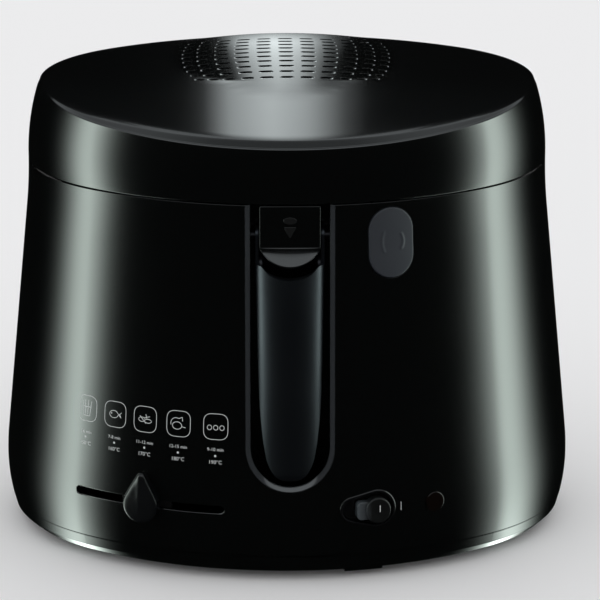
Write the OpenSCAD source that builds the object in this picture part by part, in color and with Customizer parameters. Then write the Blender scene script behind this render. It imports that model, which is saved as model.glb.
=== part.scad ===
// Oval deep fryer with a hinged, vented lid, a fold-down basket handle and a basket lift.
// Millimetres. +Z is up, the front faces -Y, and the origin is on the table under the middle.

/* [Body] */
// Width of the housing at its belly
body_w = 360; // [354:2:366]
// Depth of the housing at its belly
body_d = 288; // [284:2:292]
// Height of the belly, where the housing is widest
belly_z = 42; // [38:1:46]
// Height of the housing's top edge, where the lid starts
seam_z = 236; // [232:1:240]
// How much narrower each side of the mouth is than the belly
mouth_inset = 16.8; // [15:0.2:18]
// Wall of the housing
wall = 2.6; // [2.2:0.1:3.2]
// Height of the seam between the housing and the base cover
base_seam = 17; // [15:1:19]
// Height of the rubber feet below the base
foot_h = 4; // [3:0.5:6]
// Radius of each rubber foot
foot_r = 9; // [7:0.5:11]

/* [Lid] */
// Height of the level rear part of the lid's rim
rim_z = 286.6; // [283:0.2:290]
// Height of the top of the vented pillow
dome_z = 292.8; // [291:0.2:296]
// Radius of the vented pillow
dome_r = 420; // [380:10:480]
// Angle at which the front part of the lid slopes down
slope = 9; // [7:0.5:11]
// How much narrower the rim is than the lid's lower edge, each side
rim_inset = 7.8; // [6:0.2:10]
// Wall of the lid
lid_wall = 2.6; // [2.2:0.1:3]
// Gap between the lid and the housing when closed
seam_gap = 0.8; // [0.6:0.1:1.2]
// Columns of vent slots
vent_cols = 17; // [13:2:17]
// Rows of vent slots
vent_rows = 11; // [9:1:12]
// Distance between rows of vent slots
vent_pitch = 9.6; // [9:0.1:10.5]
// Width of a vent slot along the row, at the middle column
vent_long = 8.6; // [7:0.2:10]
// Width of a vent slot across the row
vent_thick = 2.2; // [1.6:0.1:3]

/* [Handle] */
// Half width of the handle at its shoulders
handle_half = 21; // [20:0.5:22]
// Half width of the recess that the handle folds into
recess_half = 25; // [24.6:0.2:27]
// Depth of the recess floor behind the front of the mouth
recess_deep = 20.2; // [19.2:0.2:20.8]
// Height of the centre of the recess's round lower end
recess_end_z = 86.5; // [84:0.5:90]
// Height of the handle's pivot
pivot_z = 214; // [213:0.5:215]
// Distance of the handle's pivot in front of the recess floor
pivot_out = 7.7; // [7.4:0.1:8]
// Radius of the crank studs round the pivot
crank_r = 16; // [15.8:0.1:16.2]
// Length of the lift links between their two pins
link_l = 36; // [35.8:0.1:36.2]
// Travel of the basket lift
lift_travel = 33; // [30:0.5:33]

/* [Bowl and basket] */
// Space between the bowl's mouth and the recess floor, for the basket lift
lift_space = 15; // [14:0.5:17]
// Sheet thickness of the bowl
bowl_t = 1.5; // [1.2:0.1:2]
// Height of the bowl's rim
bowl_rim_z = 228; // [227.5:0.5:228.5]
// Height of the underside of the bowl
bowl_base_z = 75; // [73:1:78]
// Space between the basket's rim and the bowl
basket_gap = 12; // [10:0.5:16]
// Height of the basket's floor when it is lowered
basket_base_z = 90; // [86:1:94]
// Depth of the basket
basket_h = 78; // [70:1:84]
// Radius of the basket's rim wire
rim_wire = 2.2; // [1.8:0.1:2.6]
// Radius of the basket's mesh wires
mesh_wire = 0.9; // [0.7:0.1:1.2]

/* [Controls] */
// Height of the temperature slider and of the switch
control_z = 47; // [45:0.5:49]
// Angle of the middle of the temperature slot round the front arc
dial_angle = -24.6; // [-25:0.2:-24]
// Travel of the temperature slider each way
dial_swing = 11.8; // [10:0.2:12]
// Height of the temperature slot
slot_h = 5; // [4:0.2:6]
// Angle of the switch round the front arc
switch_angle = 12.7; // [12:0.1:13.5]
// Travel of the switch knob
switch_travel = 8; // [6:0.5:8]
// Angle of the lid button round the front arc
button_angle = 17.8; // [17:0.2:19]
// Width of the lid button
button_w = 28.6; // [26:0.2:30]
// Height of the lid button
button_h = 43.4; // [40:0.2:45]
// Height of the centre of the lid button
button_z = 211; // [209:0.5:212]
// Travel of the lid button
button_travel = 4; // [3:0.5:4]
// Travel of the handle's release slide
release_travel = 4; // [3:0.5:4]

/* [Clearances] */
// Running clearance between sliding pieces
slide_gap = 0.3; // [0.2:0.05:0.4]
// Running clearance between a pin and its bore
pin_gap = 0.05; // [0.04:0.01:0.08]

/* [Hidden] */
$fn = 64;
eps = 0.01;

// The oval plan has four arcs. Every wall is a parallel offset of it, so the arc centres are shared.
// The centres lie on 3-4-5 triangles, so the arcs meet on straight lines through two centres.
flat = (body_w - body_d) / 2;
side_centre = 1.5 * flat;
front_centre = 2 * flat;
arc_gap = 2.5 * flat;
side_turn = atan2(front_centre, side_centre);
function fine(v) = round(v * 1000) / 1000;

// Outline of the housing: a round foot, a round belly, a straight taper and a round mouth.
foot_arc = 112;
belly_arc = 160;
mouth_arc = 300;
taper = 5.75;
belly_top = belly_z + belly_arc * sin(taper);
mouth_low = seam_z - mouth_arc * sin(taper);
mouth_half = body_w / 2 - mouth_inset;
function foot_half(z) = body_w / 2 - foot_arc + sqrt(foot_arc * foot_arc - pow(belly_z - z, 2));
function belly_half(z) = body_w / 2 - belly_arc + sqrt(belly_arc * belly_arc - pow(z - belly_z, 2));
function throat_half(z) = mouth_half + mouth_arc - sqrt(mouth_arc * mouth_arc - pow(seam_z - z, 2));
function taper_half(z) = belly_half(belly_top)
  + (throat_half(mouth_low) - belly_half(belly_top)) * (z - belly_top) / (mouth_low - belly_top);
function body_half(z) = z < belly_z ? foot_half(z) : z < belly_top ? belly_half(z)
  : z < mouth_low ? taper_half(z) : throat_half(z);
function steps(a, b, n) = [for (i = [0 : n]) a + (b - a) * i / n];
wall_levels = concat(steps(base_seam, belly_z, 3), steps(belly_z + 6, belly_top, 2),
  steps(mouth_low, seam_z, 3));
function wall_line(inset) = [for (z = wall_levels) [body_half(z) - inset, z]];
function front_r(z) = body_half(z) - side_centre + arc_gap;
function half_depth(half) = half - flat;
recess_floor = half_depth(mouth_half) - recess_deep;
pivot_y = recess_floor + pivot_out;
bowl_half = recess_floor + flat - lift_space;
basket_half = bowl_half - basket_gap;
touch_gap = 0.05;

// Base
base_z = foot_h;
base_roll = 12;
cover_t = 2.4;
lip_h = 5;
lip_gap = 0.3;
shield_z = 56;
shield_t = 1;
post_r = 5;
shield_posts = [[95, 35], [-95, 35], [84, -44], [-12, -80]];
foot_in = 22.2;
foot_y = half_depth(mouth_half) - 65;
foot_x = plan_x(mouth_half - foot_in, foot_y);
foot_places = [[foot_x, foot_y], [-foot_x, foot_y], [foot_x, -foot_y], [-foot_x, -foot_y]];
screw_in = 35;
screw_places = [[mouth_half - screw_in, 0], [screw_in - mouth_half, 0], [0, half_depth(mouth_half) - screw_in + 6],
  [0, screw_in + 4 - half_depth(mouth_half)]];

// Deck and bowl
flange_w = lift_space - 3;
flange_t = 1.5;
deck_top = bowl_rim_z - flange_t;
deck_t = 2.7;
deck_half = bowl_half + 4;
bowl_floor_half = bowl_half - 4;
bowl_round = 11;
arm_z = 176;
arm_t = 3;
arm_half = 10;
window_gap = 5;

// Lid
lid_z = seam_z + seam_gap;
lid_arc = (pow(rim_z - lid_z - 3, 2) + rim_inset * rim_inset) / (2 * rim_inset);
lid_vertical = lid_z + 3;
function lid_half(z) = z < lid_vertical ? mouth_half
  : mouth_half - lid_arc + sqrt(lid_arc * lid_arc - pow(z - lid_vertical, 2));
slope_start = -16;
dome_y = 54;
hinge_y = half_depth(mouth_half) + 6.8;
hinge_z = seam_z + 4;
hinge_r = 6;
ear_x = 34;
ear_w = 8;
knuckle_w = 10;
hinge_pin_r = 2.5;
vent_first = -10;
vent_round_x = 80;
vent_turn = 10.5;
liner_z = lid_z + 0.4;
liner_t = 1.2;
liner_half = mouth_half - 9;
seal_half = bowl_half + 7;
filter_r = 66;
filter_y = half_depth(liner_half) - filter_r - 14.2;
filter_h = 26;
boss_x = liner_half - 34;
boss_places = [[boss_x, 14], [-boss_x, 14], [boss_x - 36, 66 - half_depth(liner_half)], [36 - boss_x, 66 - half_depth(liner_half)]];
boss_r = 5;
catch_half = 7;
catch_in = 9;
catch_t = 2;
catch_low = 212;
guide_w = button_w + 2 * slide_gap + 3;
guide_h = button_h + 2 * slide_gap + 3;
button_back = 3;
button_skirt = 4.2;
seat_half = 18;
seat_back = 19;
spring_drop = -14;

// Handle
crank_angle = 20.6;
link_lean = 39.8;
link_x = 16.8;
link_t = 1.6;
link_half = 3.2;
eye_hole = 3.85;
eye_r = 5.1;
stud_r = 1.4;
cheek_x = link_x + link_t + 0.4;
cheek_r = 6.5;
pivot_pin_r = 2.5;
pin_square = 2;
handle_t = 2.2;
handle_end_z = 66;
handle_top_z = 201;
handle_proud = 6.2;
handle_lean = 4.5;
thumb_r = 22.7;
thumb_drop = 11;
grip_arc = 38;
grip_deep = 38;
block_half = 16;
carriage_y = -recess_floor + 8;
carriage_z = pivot_z - crank_r * cos(crank_angle) - link_l * cos(link_lean) - 1.4;
rod_r = 2;
rod_x = 9;
carriage_pin_r = 2;

// Basket
basket_floor_half = basket_half - 8;
basket_rim_z = basket_base_z + basket_h;
wire_pitch = 16;
weld_gap = 0.15;
floor_wire_z = basket_base_z + mesh_wire;
grid_half = basket_floor_half - 2 * mesh_wire - 0.4;
tip_gap = 0.4;
bracket_t = 1.8;
tip_t = 2;
bracket_y = -half_depth(basket_half) - rim_wire - bracket_t;
tip_y = bracket_y - tip_gap - tip_t;
bracket_top = arm_z + arm_t + 11;

// Controls
lamp_angle = switch_angle + 11.7;
lamp_r = 6.4;
knob_r = 11.3;
knob_point = 20;
knob_proud = 9;
pin_back = 12;
lever_back = 105;
lever_t = 3;
lever_z = control_z - 1.5;
fork_gap = 0.6;
fork_end = 5.6;
drive_pin_r = 2;
carrier_gap = 1.3;
carrier_turn = 4.5;
carrier_t = 2;

// ---- Forms that several pieces share ----

// Turns a [half width, height] outline round the four arcs of the oval.
module oval(outline) {
  for (s = [0, 180]) rotate([0, 0, s]) {
    intersection() {
      translate([side_centre, 0, 0]) rotate_extrude(convexity = 6)
        polygon([for (p = outline) [fine(p[0]) - side_centre, fine(p[1])]]);
      side_sector(outline);
    }
    oval_front(outline);
  }
}

// The front arc alone, between the two junctions with the side arcs.
module oval_front(outline) {
  intersection() {
    translate([0, front_centre, 0]) rotate_extrude(convexity = 6)
      polygon([for (p = outline) [fine(p[0]) - side_centre + arc_gap, fine(p[1])]]);
    front_sector(outline);
  }
}

// A round wire or tube that follows the oval.
module oval_tube(half, z, r) {
  span = [[half, z - 2 * r], [half, z + 2 * r]];
  for (s = [0, 180]) rotate([0, 0, s]) {
    intersection() {
      translate([side_centre, 0, 0]) rotate_extrude() translate([fine(half) - side_centre, z]) circle(r = r, $fn = 24);
      side_sector(span);
    }
    intersection() {
      translate([0, front_centre, 0]) rotate_extrude()
        translate([fine(half) - side_centre + arc_gap, z]) circle(r = r, $fn = 24);
      front_sector(span);
    }
  }
}

function low_z(outline) = min([for (p = outline) p[1]]) - 1;
function high_z(outline) = max([for (p = outline) p[1]]) + 1;
module side_sector(outline) {
  translate([0, 0, low_z(outline)]) linear_extrude(high_z(outline) - low_z(outline)) side_wedge();
}
module front_sector(outline) {
  translate([0, 0, low_z(outline)]) linear_extrude(high_z(outline) - low_z(outline)) front_wedge();
}

// The plan of one side sector and of the front sector, on the lines of the 3-4-5 triangles.
module side_wedge() {
  polygon([[side_centre, 0], [side_centre + 6 * flat, -8 * flat], [side_centre + 20 * flat, 0],
    [side_centre + 6 * flat, 8 * flat]]);
}
module front_wedge() {
  polygon([[0, front_centre], [-7.5 * flat, front_centre - 10 * flat], [7.5 * flat, front_centre - 10 * flat]]);
}

// The flat shape inside the oval of one half width.
module oval_plan(half) {
  r = fine(half) - side_centre;
  for (s = [0, 180]) rotate(s) {
    intersection() {
      translate([side_centre, 0]) circle(r = r);
      side_wedge();
    }
    intersection() {
      translate([0, front_centre]) circle(r = r + arc_gap, $fn = 180);
      front_wedge();
    }
  }
}

module oval_plate(half, z, t) {
  translate([0, 0, z]) linear_extrude(t) oval_plan(half);
}

// Puts its children on the front arc, with -Y pointing out of the wall.
module on_front(angle, z) {
  translate([0, front_centre, z]) rotate([0, 0, angle]) translate([0, -front_r(z), 0]) children();
}

// The same place carried straight down to table level.
module under_front(angle, z) {
  on_front(angle, z) translate([0, 0, -z]) children();
}

// A sector of a ring about the centre of the front arc.
module front_ring(angle, half_angle, r_in, r_out, z, h) {
  translate([0, front_centre, z]) rotate([0, 0, angle - 90 - half_angle])
    rotate_extrude(angle = 2 * half_angle)
      translate([r_in, 0]) square([r_out - r_in, h]);
}

// A flat slab cut from an XZ outline, from y_front to y_back.
module slab(y_front, y_back) {
  translate([0, y_back, 0]) rotate([90, 0, 0]) linear_extrude(y_back - y_front) children();
}

module rod_x(r, x0, x1) {
  translate([x0, 0, 0]) rotate([0, 90, 0]) cylinder(r = r, h = x1 - x0);
}

module stadium(w, h) {
  square([w, h - w], center = true);
  for (s = [-1, 1]) translate([0, s * (h - w) / 2]) circle(d = w);
}

// A coil spring along +Z: a round wire swept along a helix.
module coil(r, wire, length, turns) {
  per_turn = 14;
  sides = 8;
  n = turns * per_turn;
  points = [for (i = [0 : n], k = [0 : sides - 1])
    let (a = 360 * i / per_turn, b = 360 * k / sides, q = r + wire * cos(b))
      [q * cos(a), q * sin(a), wire + (length - 2 * wire) * i / n + wire * sin(b)]];
  faces = concat(
    [[for (k = [0 : sides - 1]) k]],
    [for (i = [0 : n - 1], k = [0 : sides - 1]) let (j = (k + 1) % sides)
      [i * sides + k, (i + 1) * sides + k, (i + 1) * sides + j, i * sides + j]],
    [[for (k = [sides - 1 : -1 : 0]) n * sides + k]]);
  polyhedron(points = points, faces = faces, convexity = 10);
}

// ---- Housing ----

module recess_plan(grow) {
  translate([0, recess_end_z]) circle(r = recess_half + grow);
  translate([-recess_half - grow, recess_end_z])
    square([2 * (recess_half + grow), seam_z - recess_end_z + 20]);
}

module housing_skin() {
  oval(concat(wall_line(0), [for (i = [len(wall_levels) - 1 : -1 : 0])
    [body_half(wall_levels[i]) - wall, wall_levels[i]]]));
}

// The solid front of the housing, grown outwards, to trim a piece to a face parallel to the wall.
module front_solid(grow = 0) {
  oval_front(concat([[90, base_seam]], wall_line(-grow), [[90, seam_z]]));
}

module inner_deck() color([0.06, 0.065, 0.075]) {
  edge = body_half(deck_top) - wall - touch_gap;
  difference() {
    oval([[deck_half, deck_top - deck_t], [edge, deck_top - deck_t], [edge, deck_top], [deck_half, deck_top]]);
    slab(-body_d, -recess_floor + wall + touch_gap) recess_plan(wall + touch_gap);
    under_front(button_angle, button_z) translate([-catch_half - 2, 4.5, 0])
      cube([2 * catch_half + 4, 11, seam_z]);
    on_front(button_angle, button_z) {
      slab(0, wall + 3 + touch_gap) stadium(guide_w + 2 * touch_gap, guide_h + 2 * touch_gap);
      slab(0, wall + 12) stadium(button_w + 2 * slide_gap, button_h + 2 * slide_gap);
    }
  }
}

// The trough in the front that the handle folds into.
module handle_recess() color([0.06, 0.065, 0.075]) {
  difference() {
    intersection() {
      slab(-body_d, -recess_floor + wall) recess_plan(wall);
      front_solid(-wall - touch_gap);
    }
    slab(-body_d, -recess_floor) recess_plan(0);
    link_slits();
    pivot_seats();
  }
}

// The panel in the rear wall that holds the cord gland.
module inlet_panel() color([0.06, 0.065, 0.075]) {
  difference() {
    intersection() {
      housing_skin($fn = 360);
      at_gland() slab(-body_d / 10, body_d / 10) square([inlet_w, inlet_h], center = true);
    }
    gland_bore();
  }
}

module hinge_ears() color([0.06, 0.065, 0.075]) difference() {
  root = plan_y(mouth_half, ear_x + ear_w) - 1;
  for (s = [-1, 1]) translate([s * (ear_x + ear_w / 2) - ear_w / 2, 0, 0]) {
    translate([0, hinge_y, hinge_z]) rod_x(hinge_r, 0, ear_w);
    rotate([90, 0, 90]) linear_extrude(ear_w)
      polygon([[root, seam_z], [root, hinge_z - 26], [hinge_y, hinge_z - 16],
        [hinge_y + hinge_r, hinge_z - 10], [hinge_y + hinge_r, hinge_z], [hinge_y - hinge_r, hinge_z],
        [hinge_y - hinge_r, seam_z]]);
  }
  rotate([0, 0, 180]) front_solid(touch_gap, $fn = 360);
  translate([0, hinge_y, hinge_z]) rod_x(hinge_pin_r, -ear_x - ear_w - 1, ear_x + ear_w + 1);
}

module switch_plan(grow) {
  hull() {
    translate([5.8, 0]) circle(r = 12 + grow);
    translate([-9, 0]) circle(r = 8.6 + grow);
  }
}

module housing() color([0.06, 0.065, 0.075]) {
  difference() {
    union() {
      housing_skin();
      dial_rails();
      button_guide();
    }
    slab(-body_d, -recess_floor) recess_plan(0);
    dial_slot();
    on_front(switch_angle, control_z) slab(-5, 6) switch_plan(-1.2);
    on_front(button_angle, button_z) slab(-15, wall + 12)
      stadium(button_w + 2 * slide_gap, button_h + 2 * slide_gap);
    on_front(lamp_angle, control_z) slab(-9, 9) circle(r = lamp_r + 0.1);
    at_gland() slab(-body_d / 10, body_d / 10) square([inlet_w + 2 * touch_gap, inlet_h + 2 * touch_gap], center = true);
  }
}

module dial_slot() {
  r = front_r(control_z);
  half = dial_swing + 2.1;
  front_ring(dial_angle, half, r - wall - 3, r + 4, control_z - slot_h / 2, slot_h);
  for (s = [-1, 1]) on_front(dial_angle + s * half, control_z) slab(-4, wall + 3) circle(d = slot_h);
}

// Two ribs inside the wall that the slider's carrier runs between.
module dial_rails() {
  r = front_r(control_z) - wall;
  half = dial_swing + carrier_turn - 1;
  for (z = [control_z - 12.5, control_z + 10])
    front_ring(dial_angle, half, r - 5, r + wall / 2, z, 2.5);
}

// A collar behind the wall that guides the lid button, and a bridge that its spring rests on.
module button_guide() {
  on_front(button_angle, button_z) {
    difference() {
      slab(wall / 2, wall + 3) stadium(guide_w, guide_h);
      slab(0, wall + 4) stadium(button_w + 2 * slide_gap, button_h + 2 * slide_gap);
    }
    for (s = [-1, 1]) translate([s * seat_half - 1, wall / 2 - 1, spring_drop - 6]) cube([2, seat_back - wall / 2 + 3, 12]);
    translate([-seat_half, seat_back, spring_drop - 6]) cube([2 * seat_half, 2, 12]);
  }
}

module link_slits() {
  for (s = [-1, 1]) translate([s * (link_x + link_t / 2) - 1.6, -recess_floor - 1, carriage_z - 1])
    cube([3.2, wall + 2, 44]);
}

// Square seats in the trough's sides, which keep the pivot pins from turning.
module pivot_seats() {
  translate([0, -pivot_y, pivot_z])
    cube([2 * (recess_half + wall + 1), 2 * pin_square, 2 * pin_square], center = true);
}

gland_x = 70;
gland_r = 7;
inlet_w = 38;
inlet_h = 28;
module at_gland() {
  translate([0, -front_centre, control_z]) rotate([0, 0, 180 - asin(gland_x / front_r(control_z))])
    translate([0, -front_r(control_z), 0]) children();
}
module gland_bore() {
  at_gland() slab(-6, 8) circle(r = gland_r);
}

// ---- Base ----

function cover_line(inset) = concat(
  [[foot_half(base_seam) - 0.4 - inset, base_seam - 0.4]],
  [for (a = [0 : 30 : 90]) [foot_half(base_seam) - 0.4 - base_roll * (1 - cos(a)) - inset * cos(a),
    base_z + base_roll * (1 - sin(a)) + inset * sin(a)]]);
cover_in = foot_half(base_seam) - base_roll - 1;

module base_cover() color([0.06, 0.065, 0.075]) {
  difference() {
    union() {
      oval(concat(cover_line(0), [[cover_in, base_z], [cover_in, base_z + cover_t]],
        [for (i = [4 : -1 : 0]) cover_line(cover_t)[i]]));
      oval_plate(cover_in + 1, base_z, cover_t);
      oval([for (p = [[0, -3], [0, lip_h], [-2, lip_h], [-2, -3]])
        [body_half(base_seam) - wall - lip_gap + p[0], base_seam + p[1]]]);
      for (p = shield_posts) translate([p[0], p[1], base_z])
        cylinder(r = post_r, h = shield_z - base_z);
      thermostat_post();
      switch_shelf();
    }
    for (p = foot_places) translate([p[0], p[1], base_z - 1]) cylinder(r = foot_r, h = 2);
    for (p = screw_places) translate([p[0], p[1], base_z - 1]) {
      cylinder(r = 4, h = 2);
      cylinder(r = 1.8, h = 10);
    }
    for (x = [-5 : 5], s = [-1, 1]) translate([x * 9 - 2, s * 48 - 14, base_z - 1]) cube([4, 28, 6]);
  }
}

module thermostat_post() {
  at_spindle() for (s = [-1, 1]) translate([s * 17, 12, base_z]) cylinder(r = 4, h = thermo_z - base_z);
}

module switch_shelf() {
  under_front(switch_angle, control_z) translate([-12, wall + 7, base_z]) cube([24, 4, control_z - base_z - 12]);
}

module rubber_feet() color([0.05, 0.05, 0.05])
  for (p = foot_places) translate([p[0], p[1], 0]) difference() {
    cylinder(r = foot_r - 0.3, h = base_z + 1);
    translate([0, 0, -1]) cylinder(r = foot_r - 4, h = 2);
  }

module base_screws() color("silver")
  for (p = screw_places) translate([p[0], p[1], base_z]) {
    difference() {
      cylinder(r = 3.6, h = 1);
      translate([0, 0, -1]) cylinder(r = 1.5, h = 1.5, $fn = 6);
    }
    cylinder(r = 1.7, h = 9);
  }

module cord_gland() color([0.05, 0.05, 0.05])
  at_gland() difference() {
    union() {
      slab(-3, 0) circle(r = gland_r + 3);
      slab(-3, wall + 4) circle(r = gland_r - 0.1);
      slab(wall + 1, wall + 4) circle(r = gland_r + 2);
    }
    slab(-5, wall + 6) circle(r = 3.6);
  }

module terminal_block() color([0.85, 0.84, 0.78])
  translate([60, 40, base_z + cover_t]) difference() {
    translate([-22, -9, 0]) cube([44, 18, 16]);
    for (i = [-1 : 1]) translate([i * 13, 0, 6]) {
      translate([0, 0, 4]) cylinder(r = 3, h = 12);
      rotate([90, 0, 0]) cylinder(r = 2.4, h = 30, center = true);
    }
  }

// ---- Bowl, heater and shield ----

bowl_line_out = concat([[bowl_half, bowl_rim_z - flange_t]],
  [for (a = [0 : 30 : 90]) [bowl_floor_half - bowl_round * (1 - cos(a)),
    bowl_base_z + bowl_round * (1 - sin(a))]]);
bowl_line_in = concat(
  [for (a = [90 : -30 : 0]) [bowl_floor_half - bowl_round + (bowl_round - bowl_t) * cos(a),
    bowl_base_z + bowl_t + (bowl_round - bowl_t) * (1 - sin(a))]],
  [[bowl_half - bowl_t, bowl_rim_z]]);
bowl_plate = bowl_floor_half - bowl_round;

module bowl() color([0.62, 0.62, 0.63])
  difference() {
    union() {
      oval(concat([[bowl_half + flange_w, bowl_rim_z], [bowl_half + flange_w, bowl_rim_z - flange_t]],
        bowl_line_out, bowl_line_in));
      oval_plate(bowl_plate + eps, bowl_base_z, bowl_t);
    }
    slab(-half_depth(bowl_half) - 3, -half_depth(bowl_half) + 12)
      translate([-arm_half - 3, arm_z - window_gap])
        square([2 * (arm_half + 3), lift_travel + arm_t + 2 * window_gap]);
  }

element_half = 96;
element_r = 4;
plate_half = 112;
plate_t = 6;
element_z = bowl_base_z - plate_t - element_r;

module heater_plate() color([0.7, 0.7, 0.7])
  difference() {
    oval_plate(plate_half, bowl_base_z - plate_t, plate_t);
    at_spindle() translate([0, 0, bowl_base_z - plate_t - 1]) cylinder(r = thermo_r + 1, h = plate_t + 2);
  }

module heating_element() color([0.35, 0.35, 0.36]) {
  difference() {
    oval_tube(element_half, element_z, element_r);
    translate([-9, 0, element_z - 6]) cube([18, body_d, 12]);
  }
  for (s = [-1, 1]) translate([s * 9, half_depth(element_half) - 0.5, element_z - 16])
    cylinder(r = element_r - 0.5, h = 16);
}

module heat_shield() color([0.75, 0.75, 0.76])
  difference() {
    union() {
      oval_plate(138, shield_z, shield_t);
      oval([[138, shield_z], [139, shield_z], [139, shield_z + 14], [138, shield_z + 14]]);
    }
    at_spindle() translate([0, 0, shield_z - 1]) cylinder(r = thermo_r + 1.5, h = shield_t + 2);
    for (s = [-1, 1]) translate([s * 9, half_depth(element_half) - 0.5, shield_z - 1])
      cylinder(r = element_r + 3, h = shield_t + 2);
  }

module thermal_fuse() color([0.8, 0.8, 0.82])
  translate([24, -14, bowl_base_z - plate_t - 5]) {
    translate([0, 0, 2.6]) rod_x(2.4, -11, 11);
    translate([-4, -8, 3]) cube([8, 16, 2]);
  }

// ---- Thermostat and temperature slider ----

thermo_r = 13;
thermo_z = 52.4;
module at_spindle() {
  translate([0, front_centre, 0]) rotate([0, 0, dial_angle]) translate([0, -lever_back, 0]) children();
}

module thermostat_body() color([0.82, 0.8, 0.74])
  at_spindle() {
    translate([0, 0, thermo_z]) cylinder(r = thermo_r, h = bowl_base_z - thermo_z);
    translate([-21, 8, thermo_z]) cube([42, 9, 3]);
  }

module thermostat_lever() color([0.75, 0.75, 0.76])
  at_spindle() {
    translate([0, 0, lever_z - 2]) cylinder(r = 3, h = thermo_z - slide_gap - lever_z + 2);
    difference() {
      union() {
        translate([0, 0, lever_z]) cylinder(r = 7, h = lever_t);
        translate([-5, -lever_len - fork_end, lever_z]) cube([10, lever_len + fork_end, lever_t]);
      }
      translate([-drive_pin_r - fork_gap, -lever_len - 9, lever_z - 1])
        cube([2 * (drive_pin_r + fork_gap), 18, lever_t + 2]);
    }
  }
lever_len = front_r(control_z) - pin_back - lever_back;

module knob_plan(grow) {
  hull() {
    circle(r = knob_r + grow);
    translate([0, knob_point - 3]) circle(r = 2.6 + grow);
  }
}

module temperature_knob() color([0.16, 0.18, 0.21]) {
  on_front(dial_angle, control_z) {
    slab(-knob_proud, -0.8) knob_plan(-1.2);
    slab(-knob_proud + 2, -0.8) knob_plan(0);
  }
  intersection() {
    front_ring(dial_angle, 1.3, front_r(control_z) - wall - carrier_gap, front_r(control_z) + 2,
      control_z - slot_h / 2 + slide_gap, slot_h - 2 * slide_gap);
    on_front(dial_angle, control_z) slab(-4, wall + carrier_gap) square([20, 20], center = true);
  }
}

module slider_carrier() color([0.55, 0.55, 0.57]) {
  r = front_r(control_z) - wall;
  front_ring(dial_angle, carrier_turn, r - carrier_gap - carrier_t, r - carrier_gap, control_z - 9.6, 19.2);
  on_front(dial_angle, lever_z - 3) {
    translate([-4, wall + carrier_gap + 1, 8]) cube([8, pin_back - wall - carrier_gap + 2, 3]);
    translate([0, pin_back, 0]) cylinder(r = drive_pin_r, h = 11);
  }
}

// ---- Switch and lamp ----

module switch_bezel() color([0.1, 0.105, 0.115]) {
  difference() {
    on_front(switch_angle, control_z) slab(-1.6, 2) switch_plan(0);
    on_front(switch_angle, control_z) slab(-3, 3) switch_plan(-1.3);
    front_solid($fn = 360);
  }
  on_front(switch_angle, control_z) difference() {
    slab(-1.2, wall + 4) switch_plan(-1.3);
    slab(-1.8, wall + 2.5) switch_plan(-2.5);
    slab(-1.8, wall + 6) translate([-12.4, -3]) square([24, 6]);
  }
}

module switch_knob() color([0.2, 0.22, 0.25])
  on_front(switch_angle, control_z) {
    slab(-6.5, -1.9) translate([5.4, 0]) circle(r = 8.2);
    slab(-2, wall + 1.8) translate([5.4, 0]) circle(r = 7.2);
    slab(-5.2, wall + 1.8) translate([-1.2, -4.6]) square([8, 9.2]);
    slab(0, wall + 7) translate([1, -2.5]) square([8, 5]);
  }

module switch_body() color([0.12, 0.12, 0.13])
  on_front(switch_angle, control_z) difference() {
    union() {
      translate([-17, wall + 4.4, -12]) cube([34, 16, 24]);
      for (x = [-9, 0, 9]) translate([x - 2.4, wall + 20, -4]) cube([4.8, 9, 0.8]);
    }
    translate([-12.4, wall + 4, -3.4]) cube([24.8, 6, 6.8]);
  }

module indicator_lens() color([0.7, 0.2, 0.1])
  on_front(lamp_angle, control_z) {
    slab(-1, wall + 5) circle(r = lamp_r);
    slab(wall + 0.8, wall + 2.5) circle(r = lamp_r + 2);
  }

// ---- Lid ----

// Everything below the lid's top face, lowered by inset. The slope leaves the level part ahead of the middle.
module under_top(inset) {
  intersection() {
    translate([-body_w, -body_d, 0]) cube([2 * body_w, 2 * body_d, rim_z - inset]);
    translate([0, slope_start, rim_z - inset]) rotate([slope, 0, 0])
      translate([-body_w, -body_d, -2 * rim_z]) cube([2 * body_w, 2 * body_d, 2 * rim_z]);
  }
  translate([0, dome_y, dome_z - inset - dome_r]) sphere(r = dome_r, $fn = 200);
}

lid_levels = steps(lid_vertical, rim_z, 5);
module lid_form(inset) {
  intersection() {
    union() {
      oval(concat([[60, lid_z - inset], [mouth_half - inset, lid_z - inset]],
        [for (z = lid_levels) [lid_half(z) - inset, z]],
        [[lid_half(rim_z) - inset, dome_z + 5], [60, dome_z + 5]]));
      oval_plate(60 + eps, lid_z - inset, dome_z + 5 - lid_z + inset);
    }
    under_top(inset);
  }
}

// Slots in level rows and in columns that close up towards the sides like lines on a globe.
module vent_slots() {
  for (row = [0 : vent_rows - 1], col = [-(vent_cols - 1) / 2 : (vent_cols - 1) / 2]) {
    bulge = sqrt(1 - pow((row - 6.3) / 12.4, 2));
    x = vent_round_x * bulge * sin(col * vent_turn);
    long = vent_long * bulge * cos(col * vent_turn);
    y = vent_first + row * vent_pitch;
    if (long > 2.4)
      translate([x - long / 2, y - vent_thick / 2, rim_z - lid_wall - 3])
        cube([long, vent_thick, dome_z - rim_z + lid_wall + 5]);
  }
}

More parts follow.
